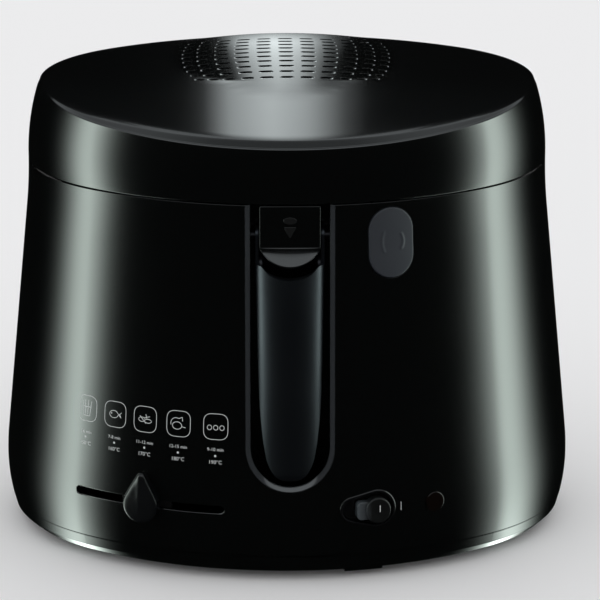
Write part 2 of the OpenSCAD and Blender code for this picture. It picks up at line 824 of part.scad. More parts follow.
module lid_knuckles() {
  root = plan_y(lid_half(hinge_z + 22), ear_x + ear_w + knuckle_w) - 0.3;
  for (s = [-1, 1]) translate([s * (ear_x + ear_w + slide_gap + knuckle_w / 2) - knuckle_w / 2, 0, 0]) {
    difference() {
      union() {
        translate([0, hinge_y, hinge_z]) rod_x(hinge_r, 0, knuckle_w);
        rotate([90, 0, 90]) linear_extrude(knuckle_w)
          polygon([[root, hinge_z - 3], [root, hinge_z + 22], [root + 5, hinge_z + 22],
            [hinge_y + hinge_r - 1, hinge_z + 9], [hinge_y + hinge_r, hinge_z], [hinge_y, hinge_z - 3]]);
      }
      translate([0, hinge_y, hinge_z]) rod_x(hinge_pin_r + pin_gap, -1, knuckle_w + 1);
    }
  }
}

module lid_cover() color([0.06, 0.065, 0.075]) {
  difference() {
    lid_form(0);
    lid_form(lid_wall);
    translate([0, 0, lid_z - 20]) linear_extrude(20) square([2 * body_w, 2 * body_d], center = true);
    vent_slots();
  }
  lid_knuckles();
  difference() {
    for (p = boss_places) translate([p[0], p[1], liner_z + liner_t]) cylinder(r = boss_r, h = 60);
    difference() {
      translate([-body_w, -body_d, 0]) cube([2 * body_w, 2 * body_d, 2 * rim_z]);
      lid_form(lid_wall / 2);
    }
    for (p = boss_places) translate([p[0], p[1], liner_z]) cylinder(r = 1.7, h = 14);
  }
}

module lid_liner() color([0.72, 0.72, 0.73])
  difference() {
    union() {
      oval_plate(liner_half, liner_z, liner_t);
      oval([[liner_half - 1, liner_z], [liner_half, liner_z], [liner_half, liner_z + 8],
        [liner_half - 1, liner_z + 8]]);
    }
    translate([0, filter_y, liner_z - 1]) cylinder(r = filter_r - 4, h = 4);
    for (p = boss_places) translate([p[0], p[1], liner_z - 1]) cylinder(r = 1.8, h = 4);
    under_front(button_angle, button_z) translate([-catch_half - 3, 3, liner_z - 1])
      cube([2 * catch_half + 6, catch_in + catch_t - 2, 12]);
  }

module lid_seal() color([0.3, 0.3, 0.31])
  oval([[seal_half - 5, liner_z], [seal_half + 5, liner_z], [seal_half + 5, liner_z - 2],
    [seal_half + 2, bowl_rim_z + slide_gap], [seal_half - 2, bowl_rim_z + slide_gap],
    [seal_half - 5, liner_z - 2]]);

module filter_holder() color([0.15, 0.15, 0.16])
  translate([0, filter_y, liner_z + liner_t]) difference() {
    cylinder(r = filter_r, h = filter_h);
    translate([0, 0, 1.6]) cylinder(r = filter_r - 2, h = filter_h);
    translate([0, 0, -1]) cylinder(r = filter_r - 8, h = 4);
  }

module filter_grille() color([0.7, 0.7, 0.71])
  translate([0, filter_y, liner_z + liner_t + 1.6]) difference() {
    cylinder(r = filter_r - 2.2, h = 1.2);
    for (i = [-5 : 5], j = [-5 : 5]) if (i * i + j * j < 26)
      translate([i * 10.5, j * 10.5, -1]) cylinder(r = 3.4, h = 4);
  }

module filter_pad() color([0.12, 0.12, 0.12])
  translate([0, filter_y, liner_z + liner_t + 3.1]) cylinder(r = filter_r - 2.5, h = 20);

module liner_screws() color("silver")
  for (p = boss_places) translate([p[0], p[1], liner_z]) {
    difference() {
      translate([0, 0, -1.8]) cylinder(r = 3.4, h = 1.8);
      translate([0, 0, -2.4]) cylinder(r = 1.5, h = 1.4, $fn = 6);
    }
    cylinder(r = 1.6, h = 12);
  }

module lid_catch() color("silver")
  under_front(button_angle, button_z) difference() {
    union() {
      translate([-catch_half, catch_in, catch_low])
        cube([2 * catch_half, catch_t, liner_z + liner_t + 2 - catch_low]);
      translate([-catch_half, catch_in, liner_z + liner_t]) cube([2 * catch_half, 18, 2]);
    }
    translate([-catch_half + 2, catch_in - 1, catch_low + 3]) cube([2 * catch_half - 4, catch_t + 2, 8]);
    translate([0, catch_in + 12, liner_z]) cylinder(r = 2, h = 6);
  }

module lid_hinge_pins() color("silver")
  for (s = [-1, 1]) translate([0, hinge_y, hinge_z])
    rod_x(hinge_pin_r, s * (ear_x + ear_w + (knuckle_w - ear_w) / 2) - (knuckle_w + ear_w) / 2,
      s * (ear_x + ear_w + (knuckle_w - ear_w) / 2) + (knuckle_w + ear_w) / 2);

module lid_hinge_spring() color("silver")
  translate([-ear_x + slide_gap, hinge_y, hinge_z]) rotate([0, 90, 0]) coil(3.6, 0.8, 2 * (ear_x - slide_gap), 16);

// ---- Lid button ----

module lid_button() color([0.13, 0.15, 0.18])
  difference() {
    union() {
      intersection() {
        on_front(button_angle, button_z) slab(-10, button_skirt) stadium(button_w, button_h);
        front_solid(1, $fn = 360);
      }
      intersection() {
        on_front(button_angle, button_z) slab(-10, button_skirt) stadium(button_w - 3, button_h - 3);
        front_solid(1.8, $fn = 360);
      }
    }
    on_front(button_angle, button_z) slab(button_back, button_skirt + 1) stadium(button_w - 4, button_h - 4);
  }

module latch_hook() color("silver")
  under_front(button_angle, button_z) {
    hook_z = catch_low - 4;
    hook_back = catch_in + 6.4;
    translate([-5, button_back, hook_z - 4]) cube([10, 1.6, 12]);
    translate([-5, button_back, hook_z]) cube([10, hook_back - button_back, 2]);
    translate([-5, hook_back - 1.6, hook_z]) cube([10, 1.6, 14]);
    translate([-4, catch_in + catch_t + slide_gap, hook_z + 10])
      cube([8, hook_back - 1 - catch_in - catch_t - slide_gap, 2.4]);
  }

module button_spring() color("silver")
  on_front(button_angle, button_z) translate([0, button_back, spring_drop]) rotate([-90, 0, 0])
    coil(4, 0.5, seat_back - button_back, 6);

// ---- Handle ----

module handle_plan(inset) {
  hull() {
    translate([0, handle_end_z + 12]) circle(r = 12 - inset);
    for (s = [-1, 1]) translate([s * (handle_half - 8.5), 116]) circle(r = 6.5 - inset);
    translate([-handle_half + inset, handle_top_z - 10]) square([2 * (handle_half - inset), 10]);
  }
}

module handle_section(inset) {
  r = grip_arc - inset;
  half = handle_half - inset;
  polygon([for (i = [-10 : 10]) [half * i / 10, grip_arc - sqrt(r * r - pow(half * i / 10, 2))],
    [half, grip_deep], [-half, grip_deep]]);
}

module handle_form(inset, back) {
  intersection() {
    slab(-body_d, back) handle_plan(inset);
    translate([0, -half_depth(body_half(handle_top_z)) - handle_proud, handle_top_z])
      rotate([-handle_lean, 0, 0]) translate([0, 0, -handle_top_z]) linear_extrude(handle_top_z + handle_t * 9) handle_section(inset);
  }
}

module handle() color([0.16, 0.18, 0.21]) {
  difference() {
    handle_form(0, -recess_floor - 3.5);
    handle_form(handle_t, -recess_floor);
    translate([0, 0, handle_top_z + thumb_r - thumb_drop]) rotate([90, 0, 0])
      cylinder(r = thumb_r, h = body_d);
  }
  for (s = [0, 1]) mirror([s, 0, 0]) {
    difference() {
      union() {
        translate([0, -pivot_y, pivot_z]) rod_x(cheek_r, cheek_x, handle_half);
        translate([cheek_x, 0, 0]) rotate([90, 0, 90]) linear_extrude(handle_half - cheek_x)
          polygon([[-pivot_y - cheek_r, pivot_z], [-pivot_y + cheek_r, pivot_z],
            [-recess_floor - 4.5, handle_top_z - 3], [-recess_floor - 4.5, handle_top_z - 14],
            [-recess_floor - 17, handle_top_z - 14], [-recess_floor - 17, handle_top_z - 1]]);
      }
      translate([0, -pivot_y, pivot_z]) rod_x(pivot_pin_r + pin_gap, cheek_x - 1, handle_half + 1);
    }
    translate([0, -pivot_y - crank_r * sin(crank_angle), pivot_z - crank_r * cos(crank_angle)])
      rod_x(stud_r, link_x - 0.3, cheek_x + 0.5);
  }
}

module handle_pivot_pins() color("silver")
  for (s = [0, 1]) mirror([s, 0, 0]) translate([0, -pivot_y, pivot_z]) {
    rod_x(pivot_pin_r, cheek_x - 0.1, recess_half);
    rod_x(pivot_pin_r + 1.2, handle_half + slide_gap, recess_half);
    translate([recess_half - 1, -pin_square, -pin_square]) cube([wall + 1, 2 * pin_square, 2 * pin_square]);
  }

// ---- Release slide in the top of the recess ----

slide_back = half_depth(body_half(seam_z)) - 3;
slide_front = slide_back + 2.7;
slide_top = seam_z - 0.4;
shelf_z = 212;
shelf_front = slide_front + 6;
block_low = seam_z - 32;
groove_half = 4.3;
groove_low = 206;
groove_high = 229;

module slide_block() color([0.06, 0.065, 0.075])
  difference() {
    slab(-slide_back + 0.3, -recess_floor) translate([-block_half, block_low])
      square([2 * block_half, slide_top - block_low]);
    translate([-groove_half, -slide_back, groove_low])
      cube([2 * groove_half, 9, groove_high - groove_low]);
  }

module release_slide() color([0.1, 0.105, 0.115]) {
  slab(-slide_front, -slide_back) translate([-block_half - 0.2, shelf_z - 3])
    square([2 * block_half + 0.4, slide_top - shelf_z + 3]);
  intersection() {
    slab(-shelf_front, -slide_back) difference() {
      translate([0, shelf_z]) circle(r = block_half + 0.2);
      translate([-20, shelf_z]) square([40, 20]);
    }
    translate([-20, 0, 0]) rotate([90, 0, 90]) linear_extrude(40)
      polygon([[-slide_back, shelf_z - 20], [-shelf_front, shelf_z - 20],
        [-shelf_front, shelf_z - 13], [-slide_front, shelf_z - 2.5], [-slide_back, shelf_z - 2.5]]);
  }
  translate([-groove_half + slide_gap, -slide_back - 0.1, groove_high - slide_gap - 10])
    cube([2 * (groove_half - slide_gap), 7, 10]);
}

module release_spring() color("silver")
  translate([0, -slide_back + 4.4, groove_low]) coil(2.4, 0.4, groove_high - slide_gap - 10 - groove_low, 6);

// ---- Basket lift ----

module lift_links() color("silver")
  for (s = [0, 1]) mirror([s, 0, 0]) translate([link_x, carriage_y, carriage_z])
    rotate([link_lean, 0, 0]) difference() {
      union() {
        rod_x(link_half + 1.4, 0, link_t);
        translate([0, -link_half, 0]) cube([link_t, 2 * link_half, link_l]);
        translate([0, 0, link_l]) rod_x(eye_r, 0, link_t);
      }
      rod_x(carriage_pin_r + pin_gap, -1, link_t + 1);
      translate([0, 0, link_l]) rod_x(eye_hole, -1, link_t + 1);
    }

carriage_back = carriage_y - 3.6;
carriage_low = carriage_z - 9;
carriage_high = arm_z + arm_t + 3;
module lift_carriage() color([0.7, 0.7, 0.71]) {
  difference() {
    translate([-block_half + 1, carriage_back, carriage_low])
      cube([2 * block_half - 2, 7.2, carriage_high - carriage_low]);
    for (s = [-1, 1]) translate([s * rod_x, carriage_y, 0]) cylinder(r = rod_r + 0.1, h = seam_z);
  }
  translate([0, carriage_y, carriage_z])
    for (s = [0, 1]) mirror([s, 0, 0]) rod_x(carriage_pin_r, block_half - 1.5, link_x + link_t + 0.3);
  translate([-arm_half, carriage_y + 3.5, arm_z]) cube([2 * arm_half, tip_y + tip_t - carriage_y - 3.5, arm_t]);
  translate([-arm_half + 3, tip_y, arm_z]) cube([2 * arm_half - 6, tip_t, bracket_top - tip_gap - bracket_t - arm_z]);
}

rod_low = carriage_low - 14;
module lift_guide_rods() color("silver")
  for (s = [-1, 1]) translate([s * rod_x, carriage_y, rod_low])
    cylinder(r = rod_r, h = deck_top - deck_t - rod_low);

module rod_bracket() color([0.7, 0.7, 0.71])
  difference() {
    translate([-block_half, -recess_floor + wall, rod_low])
      cube([2 * block_half, recess_floor - wall + carriage_y + 4, 4]);
    for (s = [-1, 1]) translate([s * rod_x, carriage_y, rod_low - 1]) cylinder(r = rod_r, h = 6);
  }

// ---- Basket ----

// Half width of the basket's wall at height z.
function basket_at(z) = basket_floor_half + (basket_half - basket_floor_half) * (z - basket_base_z) / basket_h;

// A straight wire down the basket's wall, at one angle round an arc of the given centre and radius offset.
module wall_wire(r, grow, low, high) {
  lean = atan2(basket_half - basket_floor_half, basket_h);
  translate([basket_at(low) - side_centre + grow, 0, low]) rotate([0, lean, 0])
    cylinder(r = r, h = (high - low) / cos(lean), $fn = 16);
}

// Wires down one arc of the wall and the level wires that join them, in panels of a few wires each.
module wire_panels(turn, grow, group) {
  top_r = basket_half - side_centre + grow;
  n = floor(turn * PI / 180 * top_r / wire_pitch);
  step = turn / (n + 0.5);
  for (first = [-n : group : n]) {
    last = min(first + group - 1, n);
    gap = (mesh_wire + weld_gap) / (basket_floor_half - side_centre + grow) * 180 / PI;
    start = first == -n ? -turn + weld_gap : first * step;
    stop = last == n ? turn - weld_gap : (last + 1) * step - gap;
    for (i = [first : last]) rotate([0, 0, step * i]) wall_wire(mesh_wire, grow, basket_base_z, basket_rim_z);
    for (z = [basket_base_z + 13 : 15 : basket_rim_z - 10]) rotate([0, 0, start])
      rotate_extrude(angle = stop - start)
        translate([basket_at(z) - mesh_wire - side_centre + grow, z]) circle(r = mesh_wire, $fn = 16);
  }
}

module basket_wall() {
  for (s = [0, 180]) rotate([0, 0, s]) {
    translate([side_centre, 0, 0]) wire_panels(side_turn, 0, 2);
    translate([0, -front_centre, 0]) rotate([0, 0, 90]) wire_panels(90 - side_turn, arc_gap, 3);
  }
}

function plan_x(half, y) = let (r = half - side_centre) abs(y) < r * sin(side_turn)
  ? side_centre + sqrt(r * r - y * y) : sqrt(pow(r + arc_gap, 2) - pow(abs(y) + front_centre, 2));
function plan_y(half, x) = let (r = half - side_centre) abs(x) < side_centre + r * cos(side_turn)
  ? sqrt(pow(r + arc_gap, 2) - x * x) - front_centre : sqrt(r * r - pow(abs(x) - side_centre, 2));

module basket_frame() color("silver") {
  oval_tube(basket_half, basket_rim_z, rim_wire);
  oval_tube(basket_floor_half - 1, basket_base_z, 2);
}

module basket_mesh() color([0.75, 0.75, 0.77]) {
  basket_wall();
  for (y = [-4 : 4]) translate([0, y * wire_pitch, floor_wire_z])
    rod_x(mesh_wire, -plan_x(grid_half, y * wire_pitch), plan_x(grid_half, y * wire_pitch), $fn = 16);
  for (x = [-6 : 6]) translate([x * wire_pitch, -plan_y(grid_half, x * wire_pitch), floor_wire_z + 1.3])
    rotate([-90, 0, 0]) cylinder(r = mesh_wire, h = 2 * plan_y(grid_half, x * wire_pitch), $fn = 16);
}

module basket_bracket() color("silver") {
  translate([-arm_half + 1, bracket_y, basket_rim_z - 12])
    cube([2 * arm_half - 2, bracket_t, bracket_top - basket_rim_z + 12]);
  translate([-arm_half + 1, tip_y - tip_gap - bracket_t, bracket_top - bracket_t])
    cube([2 * arm_half - 2, tip_t + 2 * tip_gap + 2 * bracket_t, bracket_t]);
  translate([-arm_half + 1, tip_y - tip_gap - bracket_t, bracket_top - 8])
    cube([2 * arm_half - 2, bracket_t, 8]);
}

housing();
handle_recess();
inner_deck();
hinge_ears();
inlet_panel();
base_cover();
rubber_feet();
base_screws();
cord_gland();
terminal_block();
bowl();
heater_plate();
heating_element();
heat_shield();
thermal_fuse();
thermostat_body();
thermostat_lever();
temperature_knob();
slider_carrier();
switch_bezel();
switch_knob();
switch_body();
indicator_lens();
lid_cover();
lid_liner();
lid_seal();
filter_holder();
filter_pad();
filter_grille();
liner_screws();
lid_catch();
lid_hinge_pins();
lid_hinge_spring();
lid_button();
latch_hook();
button_spring();
handle();
handle_pivot_pins();
slide_block();
release_slide();
release_spring();
lift_links();
lift_carriage();
lift_guide_rods();
rod_bracket();
basket_frame();
basket_mesh();
basket_bracket();
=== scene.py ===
# %% [markdown]
# # An oval deep fryer, dressed for the camera
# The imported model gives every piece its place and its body. This file gives each one its skin: the shells
# are worked out again as smooth surfaces, and the finishes are built from nodes. The lesson goes in the
# order in which such a fryer is thought out: the plan and profile that all its shells share, the finishes,
# the housing, the lid, the handle, the controls, the print, and last the studio round it.
# All shapes are worked out in millimetres and turn into metres when a mesh is made.

# %% Load the frame
import math

import bpy
import numpy as np
from mathutils import Matrix, Vector


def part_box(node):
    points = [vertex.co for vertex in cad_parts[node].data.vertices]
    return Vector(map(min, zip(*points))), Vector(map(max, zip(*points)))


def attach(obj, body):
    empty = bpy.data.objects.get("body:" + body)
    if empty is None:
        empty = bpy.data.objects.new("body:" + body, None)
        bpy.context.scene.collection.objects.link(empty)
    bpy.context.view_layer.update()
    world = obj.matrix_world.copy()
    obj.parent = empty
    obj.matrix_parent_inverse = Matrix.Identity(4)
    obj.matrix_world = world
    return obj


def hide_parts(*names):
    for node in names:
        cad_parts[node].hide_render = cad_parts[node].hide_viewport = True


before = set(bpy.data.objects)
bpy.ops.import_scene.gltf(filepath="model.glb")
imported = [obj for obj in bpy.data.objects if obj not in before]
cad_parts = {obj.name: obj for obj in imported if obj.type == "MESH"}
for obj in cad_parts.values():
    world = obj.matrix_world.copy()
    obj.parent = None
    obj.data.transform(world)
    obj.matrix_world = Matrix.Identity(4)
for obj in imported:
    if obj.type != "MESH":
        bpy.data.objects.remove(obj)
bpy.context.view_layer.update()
scene = bpy.context.scene
MM = 0.001

# %% [markdown]
# ## The plan of the body
# The fryer is an oval of four arcs: two wide ones, front and back, and two tight ones at the sides.
# An ellipse would do, but its offsets are no ellipses, so a lid drawn as one wouldn't sit flush on a wall
# drawn as another. Arcs stay arcs when they are offset: every wall here is a parallel of the same oval, and
# one number, the half width, names it. The direction in which a wall faces is its turn: 0 faces the front
# and 90 degrees faces +X.

# %% The oval
housing_low, housing_high = (np.array(c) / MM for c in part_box("housing"))
_, lid_high = (np.array(c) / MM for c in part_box("lid_cover"))
BELLY_HALF = housing_high[0]
# FLAT is how much less deep than wide the oval is on each side. The centres of a front arc and of a side
# arc make a 3-4-5 triangle with the origin, so the two arcs meet without a kink at the turn CORNER.
FLAT = 36.0
SIDE_CENTRE, FRONT_CENTRE, ARC_GAP = 1.5 * FLAT, 2 * FLAT, 2.5 * FLAT
CORNER = math.atan2(SIDE_CENTRE, FRONT_CENTRE)
LENGTH_STEPS, CONTROLS_TURN = 4001, 0.66


def plan(half, turn):
    """A point of the oval of one half width: the centre of its arc plus its radius along the turn."""
    turn = (np.asarray(turn) + np.pi) % (2 * np.pi) - np.pi
    across, along = np.sin(turn), -np.cos(turn)
    side = (np.abs(turn) > CORNER) & (np.abs(turn) < np.pi - CORNER)
    centre_x = np.where(side, np.sign(turn) * SIDE_CENTRE, 0.0)
    centre_y = np.where(side, 0.0, np.where(np.abs(turn) <= CORNER, FRONT_CENTRE, -FRONT_CENTRE))
    radius = np.where(side, half - SIDE_CENTRE, half - SIDE_CENTRE + ARC_GAP)
    return centre_x + radius * across, centre_y + radius * along


def half_at(x, y):
    """The half width of the oval that runs through a point: the reverse of plan()."""
    front = np.abs(x) * FRONT_CENTRE < SIDE_CENTRE * (FRONT_CENTRE + np.abs(y))
    from_front = np.hypot(x, np.abs(y) + FRONT_CENTRE) + SIDE_CENTRE - ARC_GAP
    return np.where(front, from_front, np.hypot(np.abs(x) - SIDE_CENTRE, y) + SIDE_CENTRE)


def even_turns(count, half, fine=1.0):
    """Turns at equal shares of the oval's summed length. The part with the controls counts fine times."""
    turns = np.linspace(-np.pi, np.pi, LENGTH_STEPS)
    x, y = plan(np.full_like(turns, half), turns)
    weight = np.where(np.abs(turns[:-1]) < CONTROLS_TURN, fine, 1.0)
    length = np.concatenate([[0.0], np.cumsum(np.hypot(np.diff(x), np.diff(y)) * weight)])
    return np.interp(np.arange(count) / count * length[-1], length, turns)


print("oval", round(2 * BELLY_HALF, 1), "mm wide; its arcs meet at turn", round(math.degrees(CORNER), 1))


# %% [markdown]
# ## The side of the body
# Seen from the front the wall is a round foot, a round belly, a straight taper and a round mouth. It could
# be drawn as one free curve, but a mould maker uses arcs and a straight line with draft, and then the half
# width at any height is a circle's formula that every later piece can ask for.

# %% The profile of the housing
BASE_SEAM = housing_low[2]
SEAM = 236.0
BELLY_Z = 42.0
MOUTH_HALF = lid_high[0]
TAPER = math.radians(5.75)
FOOT_ARC, BELLY_ARC, MOUTH_ARC = 112.0, 160.0, 300.0
BELLY_TOP = BELLY_Z + BELLY_ARC * math.sin(TAPER)
MOUTH_LOW = SEAM - MOUTH_ARC * math.sin(TAPER)


def arc_half(radius, z_centre, z, peak):
    """Half width on an arc whose widest height is z_centre."""
    return peak - radius + np.sqrt(radius ** 2 - np.clip(z - z_centre, -radius, radius) ** 2)


def body_half(z):
    """Half width of the housing at height z."""
    z = np.asarray(z, float)
    foot = arc_half(FOOT_ARC, BELLY_Z, z, BELLY_HALF)
    belly = arc_half(BELLY_ARC, BELLY_Z, z, BELLY_HALF)
    throat = 2 * MOUTH_HALF - arc_half(MOUTH_ARC, SEAM, z, MOUTH_HALF)
    low = arc_half(BELLY_ARC, BELLY_Z, BELLY_TOP, BELLY_HALF)
    high = 2 * MOUTH_HALF - arc_half(MOUTH_ARC, SEAM, MOUTH_LOW, MOUTH_HALF)
    straight = low + (high - low) * (z - BELLY_TOP) / (MOUTH_LOW - BELLY_TOP)
    upper = np.where(z < MOUTH_LOW, straight, throat)
    return np.where(z < BELLY_Z, foot, np.where(z < BELLY_TOP, belly, upper))


def wall_point(turn, z, out=0.0):
    """A point of the housing's outer face, moved out along the face's normal.

    The lean is the width lost over one millimetre of height, so (1, lean) is the normal's direction."""
    lean = body_half(z - 0.5) - body_half(z + 0.5)
    level = np.hypot(1.0, lean)
    x, y = plan(body_half(z) + out / level, turn)
    return np.stack(np.broadcast_arrays(x, y, z + out * lean / level), -1)


def front_radius(z):
    """Radius of the housing's front arc at height z: half width, less SIDE_CENTRE, plus ARC_GAP."""
    return body_half(z) - SIDE_CENTRE + ARC_GAP


print("half width at belly and seam", round(float(body_half(BELLY_Z)), 1), round(float(body_half(SEAM)), 1))


# %% [markdown]
# ## From grids to meshes
# A surface is a grid of points, one for each pair of its two parameters. The normals come from the grid
# too: the cross product of the steps along its rows and columns. Smooth shading alone would average the
# faces' normals, which shows as ripples in a polished shell, so the true normals are handed to the mesh.

# %% Grids and patches


def grid_normals(points, wrap_u=False, wrap_v=False):
    """The cross product of central differences along both parameters, at unit length."""
    def slope(axis, wrap):
        if wrap:
            return np.roll(points, -1, axis) - np.roll(points, 1, axis)
        return np.gradient(points, axis=axis)
    cross = np.cross(slope(0, wrap_u), slope(1, wrap_v))
    size = np.linalg.norm(cross, axis=-1, keepdims=True)
    return cross / np.maximum(size, 1e-12)


def patch(points, wrap_u=False, wrap_v=False, flip=False, normals=None):
    """One grid as vertices, faces and normals. flip turns its faces and normals over."""
    points = np.asarray(points, float)
    if normals is None:
        normals = grid_normals(points, wrap_u, wrap_v)
        normals = -normals if flip else normals
    rows, cols = points.shape[:2]
    index = np.arange(rows * cols).reshape(rows, cols)
    if wrap_u:
        index = np.concatenate([index, index[:1]], 0)
    if wrap_v:
        index = np.concatenate([index, index[:, :1]], 1)
    faces = np.stack([index[:-1, :-1], index[1:, :-1], index[1:, 1:], index[:-1, 1:]], -1).reshape(-1, 4)
    if flip:
        faces = faces[:, ::-1]
    return points.reshape(-1, 3), faces, normals.reshape(-1, 3)


def facing(grid, index, direction, **wraps):
    """A patch turned so that its normal at one grid point looks along the direction."""
    made = patch(grid, **wraps)
    if np.dot(made[2].reshape(grid.shape)[index], direction) < 0:
        made = patch(grid, flip=True, **wraps)
    return made


def fan(loop, normal):
    """A flat cap: one centre point joined to a closed loop of points."""
    loop = np.asarray(loop, float)
    count = len(loop)
    ring = np.arange(count)
    faces = np.stack([np.full(count, count), ring, (ring + 1) % count, (ring + 1) % count], -1)
    area = np.cross(loop - loop.mean(0), np.roll(loop, -1, 0) - loop.mean(0)).sum(0)
    if np.dot(area, normal) < 0:
        faces = faces[:, [0, 2, 1, 1]]
    points = np.concatenate([loop, loop.mean(0)[None]])
    return points, faces, np.tile(np.asarray(normal, float), (count + 1, 1))

# %% [markdown]
# ### From patches to a piece
# A real shell is one moulding. Here it is a few patches in one mesh: each keeps its own even grid, and
# where two meet at a corner each keeps its own normals, which makes the corner sharp. A triangle is stored
# as a quad with its last corner twice, so that all patches have the same shape of array.

# %% Making a piece


def make_piece(name, patches, body, material, replaces=()):
    """Joins patches into one mesh in metres and hangs it on a body of the model."""
    points = np.concatenate([p[0] for p in patches]) * MM
    normals = np.concatenate([p[2] for p in patches])
    offsets = np.cumsum([0] + [len(p[0]) for p in patches[:-1]])
    quads = np.concatenate([p[1] + k for p, k in zip(patches, offsets)])
    faces = [f[:3] if f[2] == f[3] else f for f in quads.tolist() if f[0] != f[1]]
    mesh = bpy.data.meshes.new(name)
    mesh.from_pydata(points.tolist(), [], faces)
    mesh.polygons.foreach_set("use_smooth", np.ones(len(mesh.polygons), bool))
    mesh.normals_split_custom_set_from_vertices(normals.tolist())
    piece = bpy.data.objects.new(name, mesh)
    scene.collection.objects.link(piece)
    mesh.materials.append(material)
    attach(piece, body)
    if replaces:
        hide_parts(*replaces)
    print(f"{name}: {len(faces)} faces")
    return piece

# %% [markdown]
# ## Shader arithmetic
# A finish such as "a little rougher where the cloud noise is high" is a formula. Nodes could be added and
# linked one by one, but a formula reads better: this small class wraps a socket, so that `1 - mask * 0.2`
# adds the Math nodes by itself.

# %% A socket that can be calculated with


class Socket:
    """A node's output with arithmetic."""

    def __init__(self, tree, socket):
        self.tree = tree
        self.socket = socket

    def maths(self, operation, *others):
        node = self.tree.nodes.new("ShaderNodeMath")
        node.operation = operation
        for slot, value in zip(node.inputs, others):
            if isinstance(value, Socket):
                self.tree.links.new(value.socket, slot)
            else:
                slot.default_value = value
        return Socket(self.tree, node.outputs[0])

    def __add__(self, other):
        return self.maths("ADD", self, other)

    def __sub__(self, other):
        return self.maths("SUBTRACT", self, other)

    def __rsub__(self, other):
        return self.maths("SUBTRACT", other, self)

    def __mul__(self, other):
        return self.maths("MULTIPLY", self, other)

    __radd__ = __add__
    __rmul__ = __mul__

    def lower(self, limit):
        """The lower of this and a limit."""
        return self.maths("MINIMUM", self, limit)

    def root(self):
        return self.maths("SQRT", self)

    def above(self, low, high):
        """0 at low and 1 at high, with straight steps between."""
        node = self.tree.nodes.new("ShaderNodeMapRange")
        self.tree.links.new(self.socket, node.inputs[0])
        node.inputs[1].default_value, node.inputs[2].default_value = low, high
        return Socket(self.tree, node.outputs[0])

# %% [markdown]
# Every finish is one Principled shader with a few nodes before it. What is the same all over is set on the
# shader's own sockets. What changes over the surface reads Object coordinates, so it stays on the piece
# when the piece moves. Any node comes from `add`, which sets the node's properties and then its sockets.

# %% A finish under construction


class Finish:
    """A material under construction: a node tree with one Principled shader."""

    def __init__(self, name, colour, roughness, metallic=0.0, **fixed):
        self.material = bpy.data.materials.new(name)
        self.material.use_nodes = True
        self.tree = self.material.node_tree
        self.shader = self.tree.nodes["Principled BSDF"]
        self.shader.inputs["Base Color"].default_value = (*colour, 1)
        self.shader.inputs["Roughness"].default_value = roughness
        self.shader.inputs["Metallic"].default_value = metallic
        for key, value in fixed.items():
            self.shader.inputs[key.replace("_", " ")].default_value = value

    def add(self, kind, settings=None, output=0, **values):
        """Adds a node: settings are its properties, values its sockets by name."""
        node = self.tree.nodes.new(kind)
        for key, value in (settings or {}).items():
            setattr(node, key, value)
        for key, value in values.items():
            slot = node.inputs[key.replace("_", " ")]
            if isinstance(value, Socket):
                self.tree.links.new(value.socket, slot)
            else:
                slot.default_value = value
        return Socket(self.tree, node.outputs[output])

    def place(self, scale=(1, 1, 1)):
        """Object coordinates, stretched by scale."""
        where = self.add("ShaderNodeTexCoord", output=3)
        return self.add("ShaderNodeMapping", Vector=where, Scale=scale)

    def noise(self, scale, detail=2.0, stretch=(1, 1, 1)):
        return self.add("ShaderNodeTexNoise", Vector=self.place(stretch), Scale=scale, Detail=detail)

    def mix(self, factor, low, high):
        """A colour between low and high."""
        node = self.tree.nodes.new("ShaderNodeMix")
        node.data_type = "RGBA"
        self.tree.links.new(factor.socket, node.inputs[0])
        node.inputs[6].default_value = (*low, 1)
        node.inputs[7].default_value = (*high, 1)
        return Socket(self.tree, node.outputs[2])

    def drive(self, name, value):
        self.tree.links.new(value.socket, self.shader.inputs[name])

    def bump(self, height):
        """Raises the surface by a height in metres."""
        self.drive("Normal", self.add("ShaderNodeBump", Height=height, Distance=1.0, Strength=1.0))
        return self

# %% [markdown]
# ## The finishes
# The shells are black plastic from a polished mould: nearly black, glossy, with the faint orange-peel
# waviness that such mouldings have. The handle and the button are finer grained and a little bluer, and
# small parts inside are plain mouldings. A flat black would look like paint on glass: the unevenness of the
# gloss, a few parts in a hundred, is what makes it a moulding.

# %% Plastics
WAVE_SCALE = 28.0
GLOSS_FINE, GLOSS_BROAD, GLOSS_EVEN = 0.10, 0.25, 0.84


def moulded(name, colour, roughness, grain, grain_height, wave_height=0.0, **fixed):
    """Moulded plastic: grain from fine noise, waviness from broad noise, and slightly uneven gloss."""
    finish = Finish(name, colour, roughness, **fixed)
    fine = finish.noise(grain, 3.0)
    broad = finish.noise(WAVE_SCALE, 1.0)
    uneven = fine * (GLOSS_FINE * roughness) + broad * (GLOSS_BROAD * roughness)
    finish.drive("Roughness", uneven + GLOSS_EVEN * roughness)
    return finish.bump(fine * grain_height + broad * wave_height)


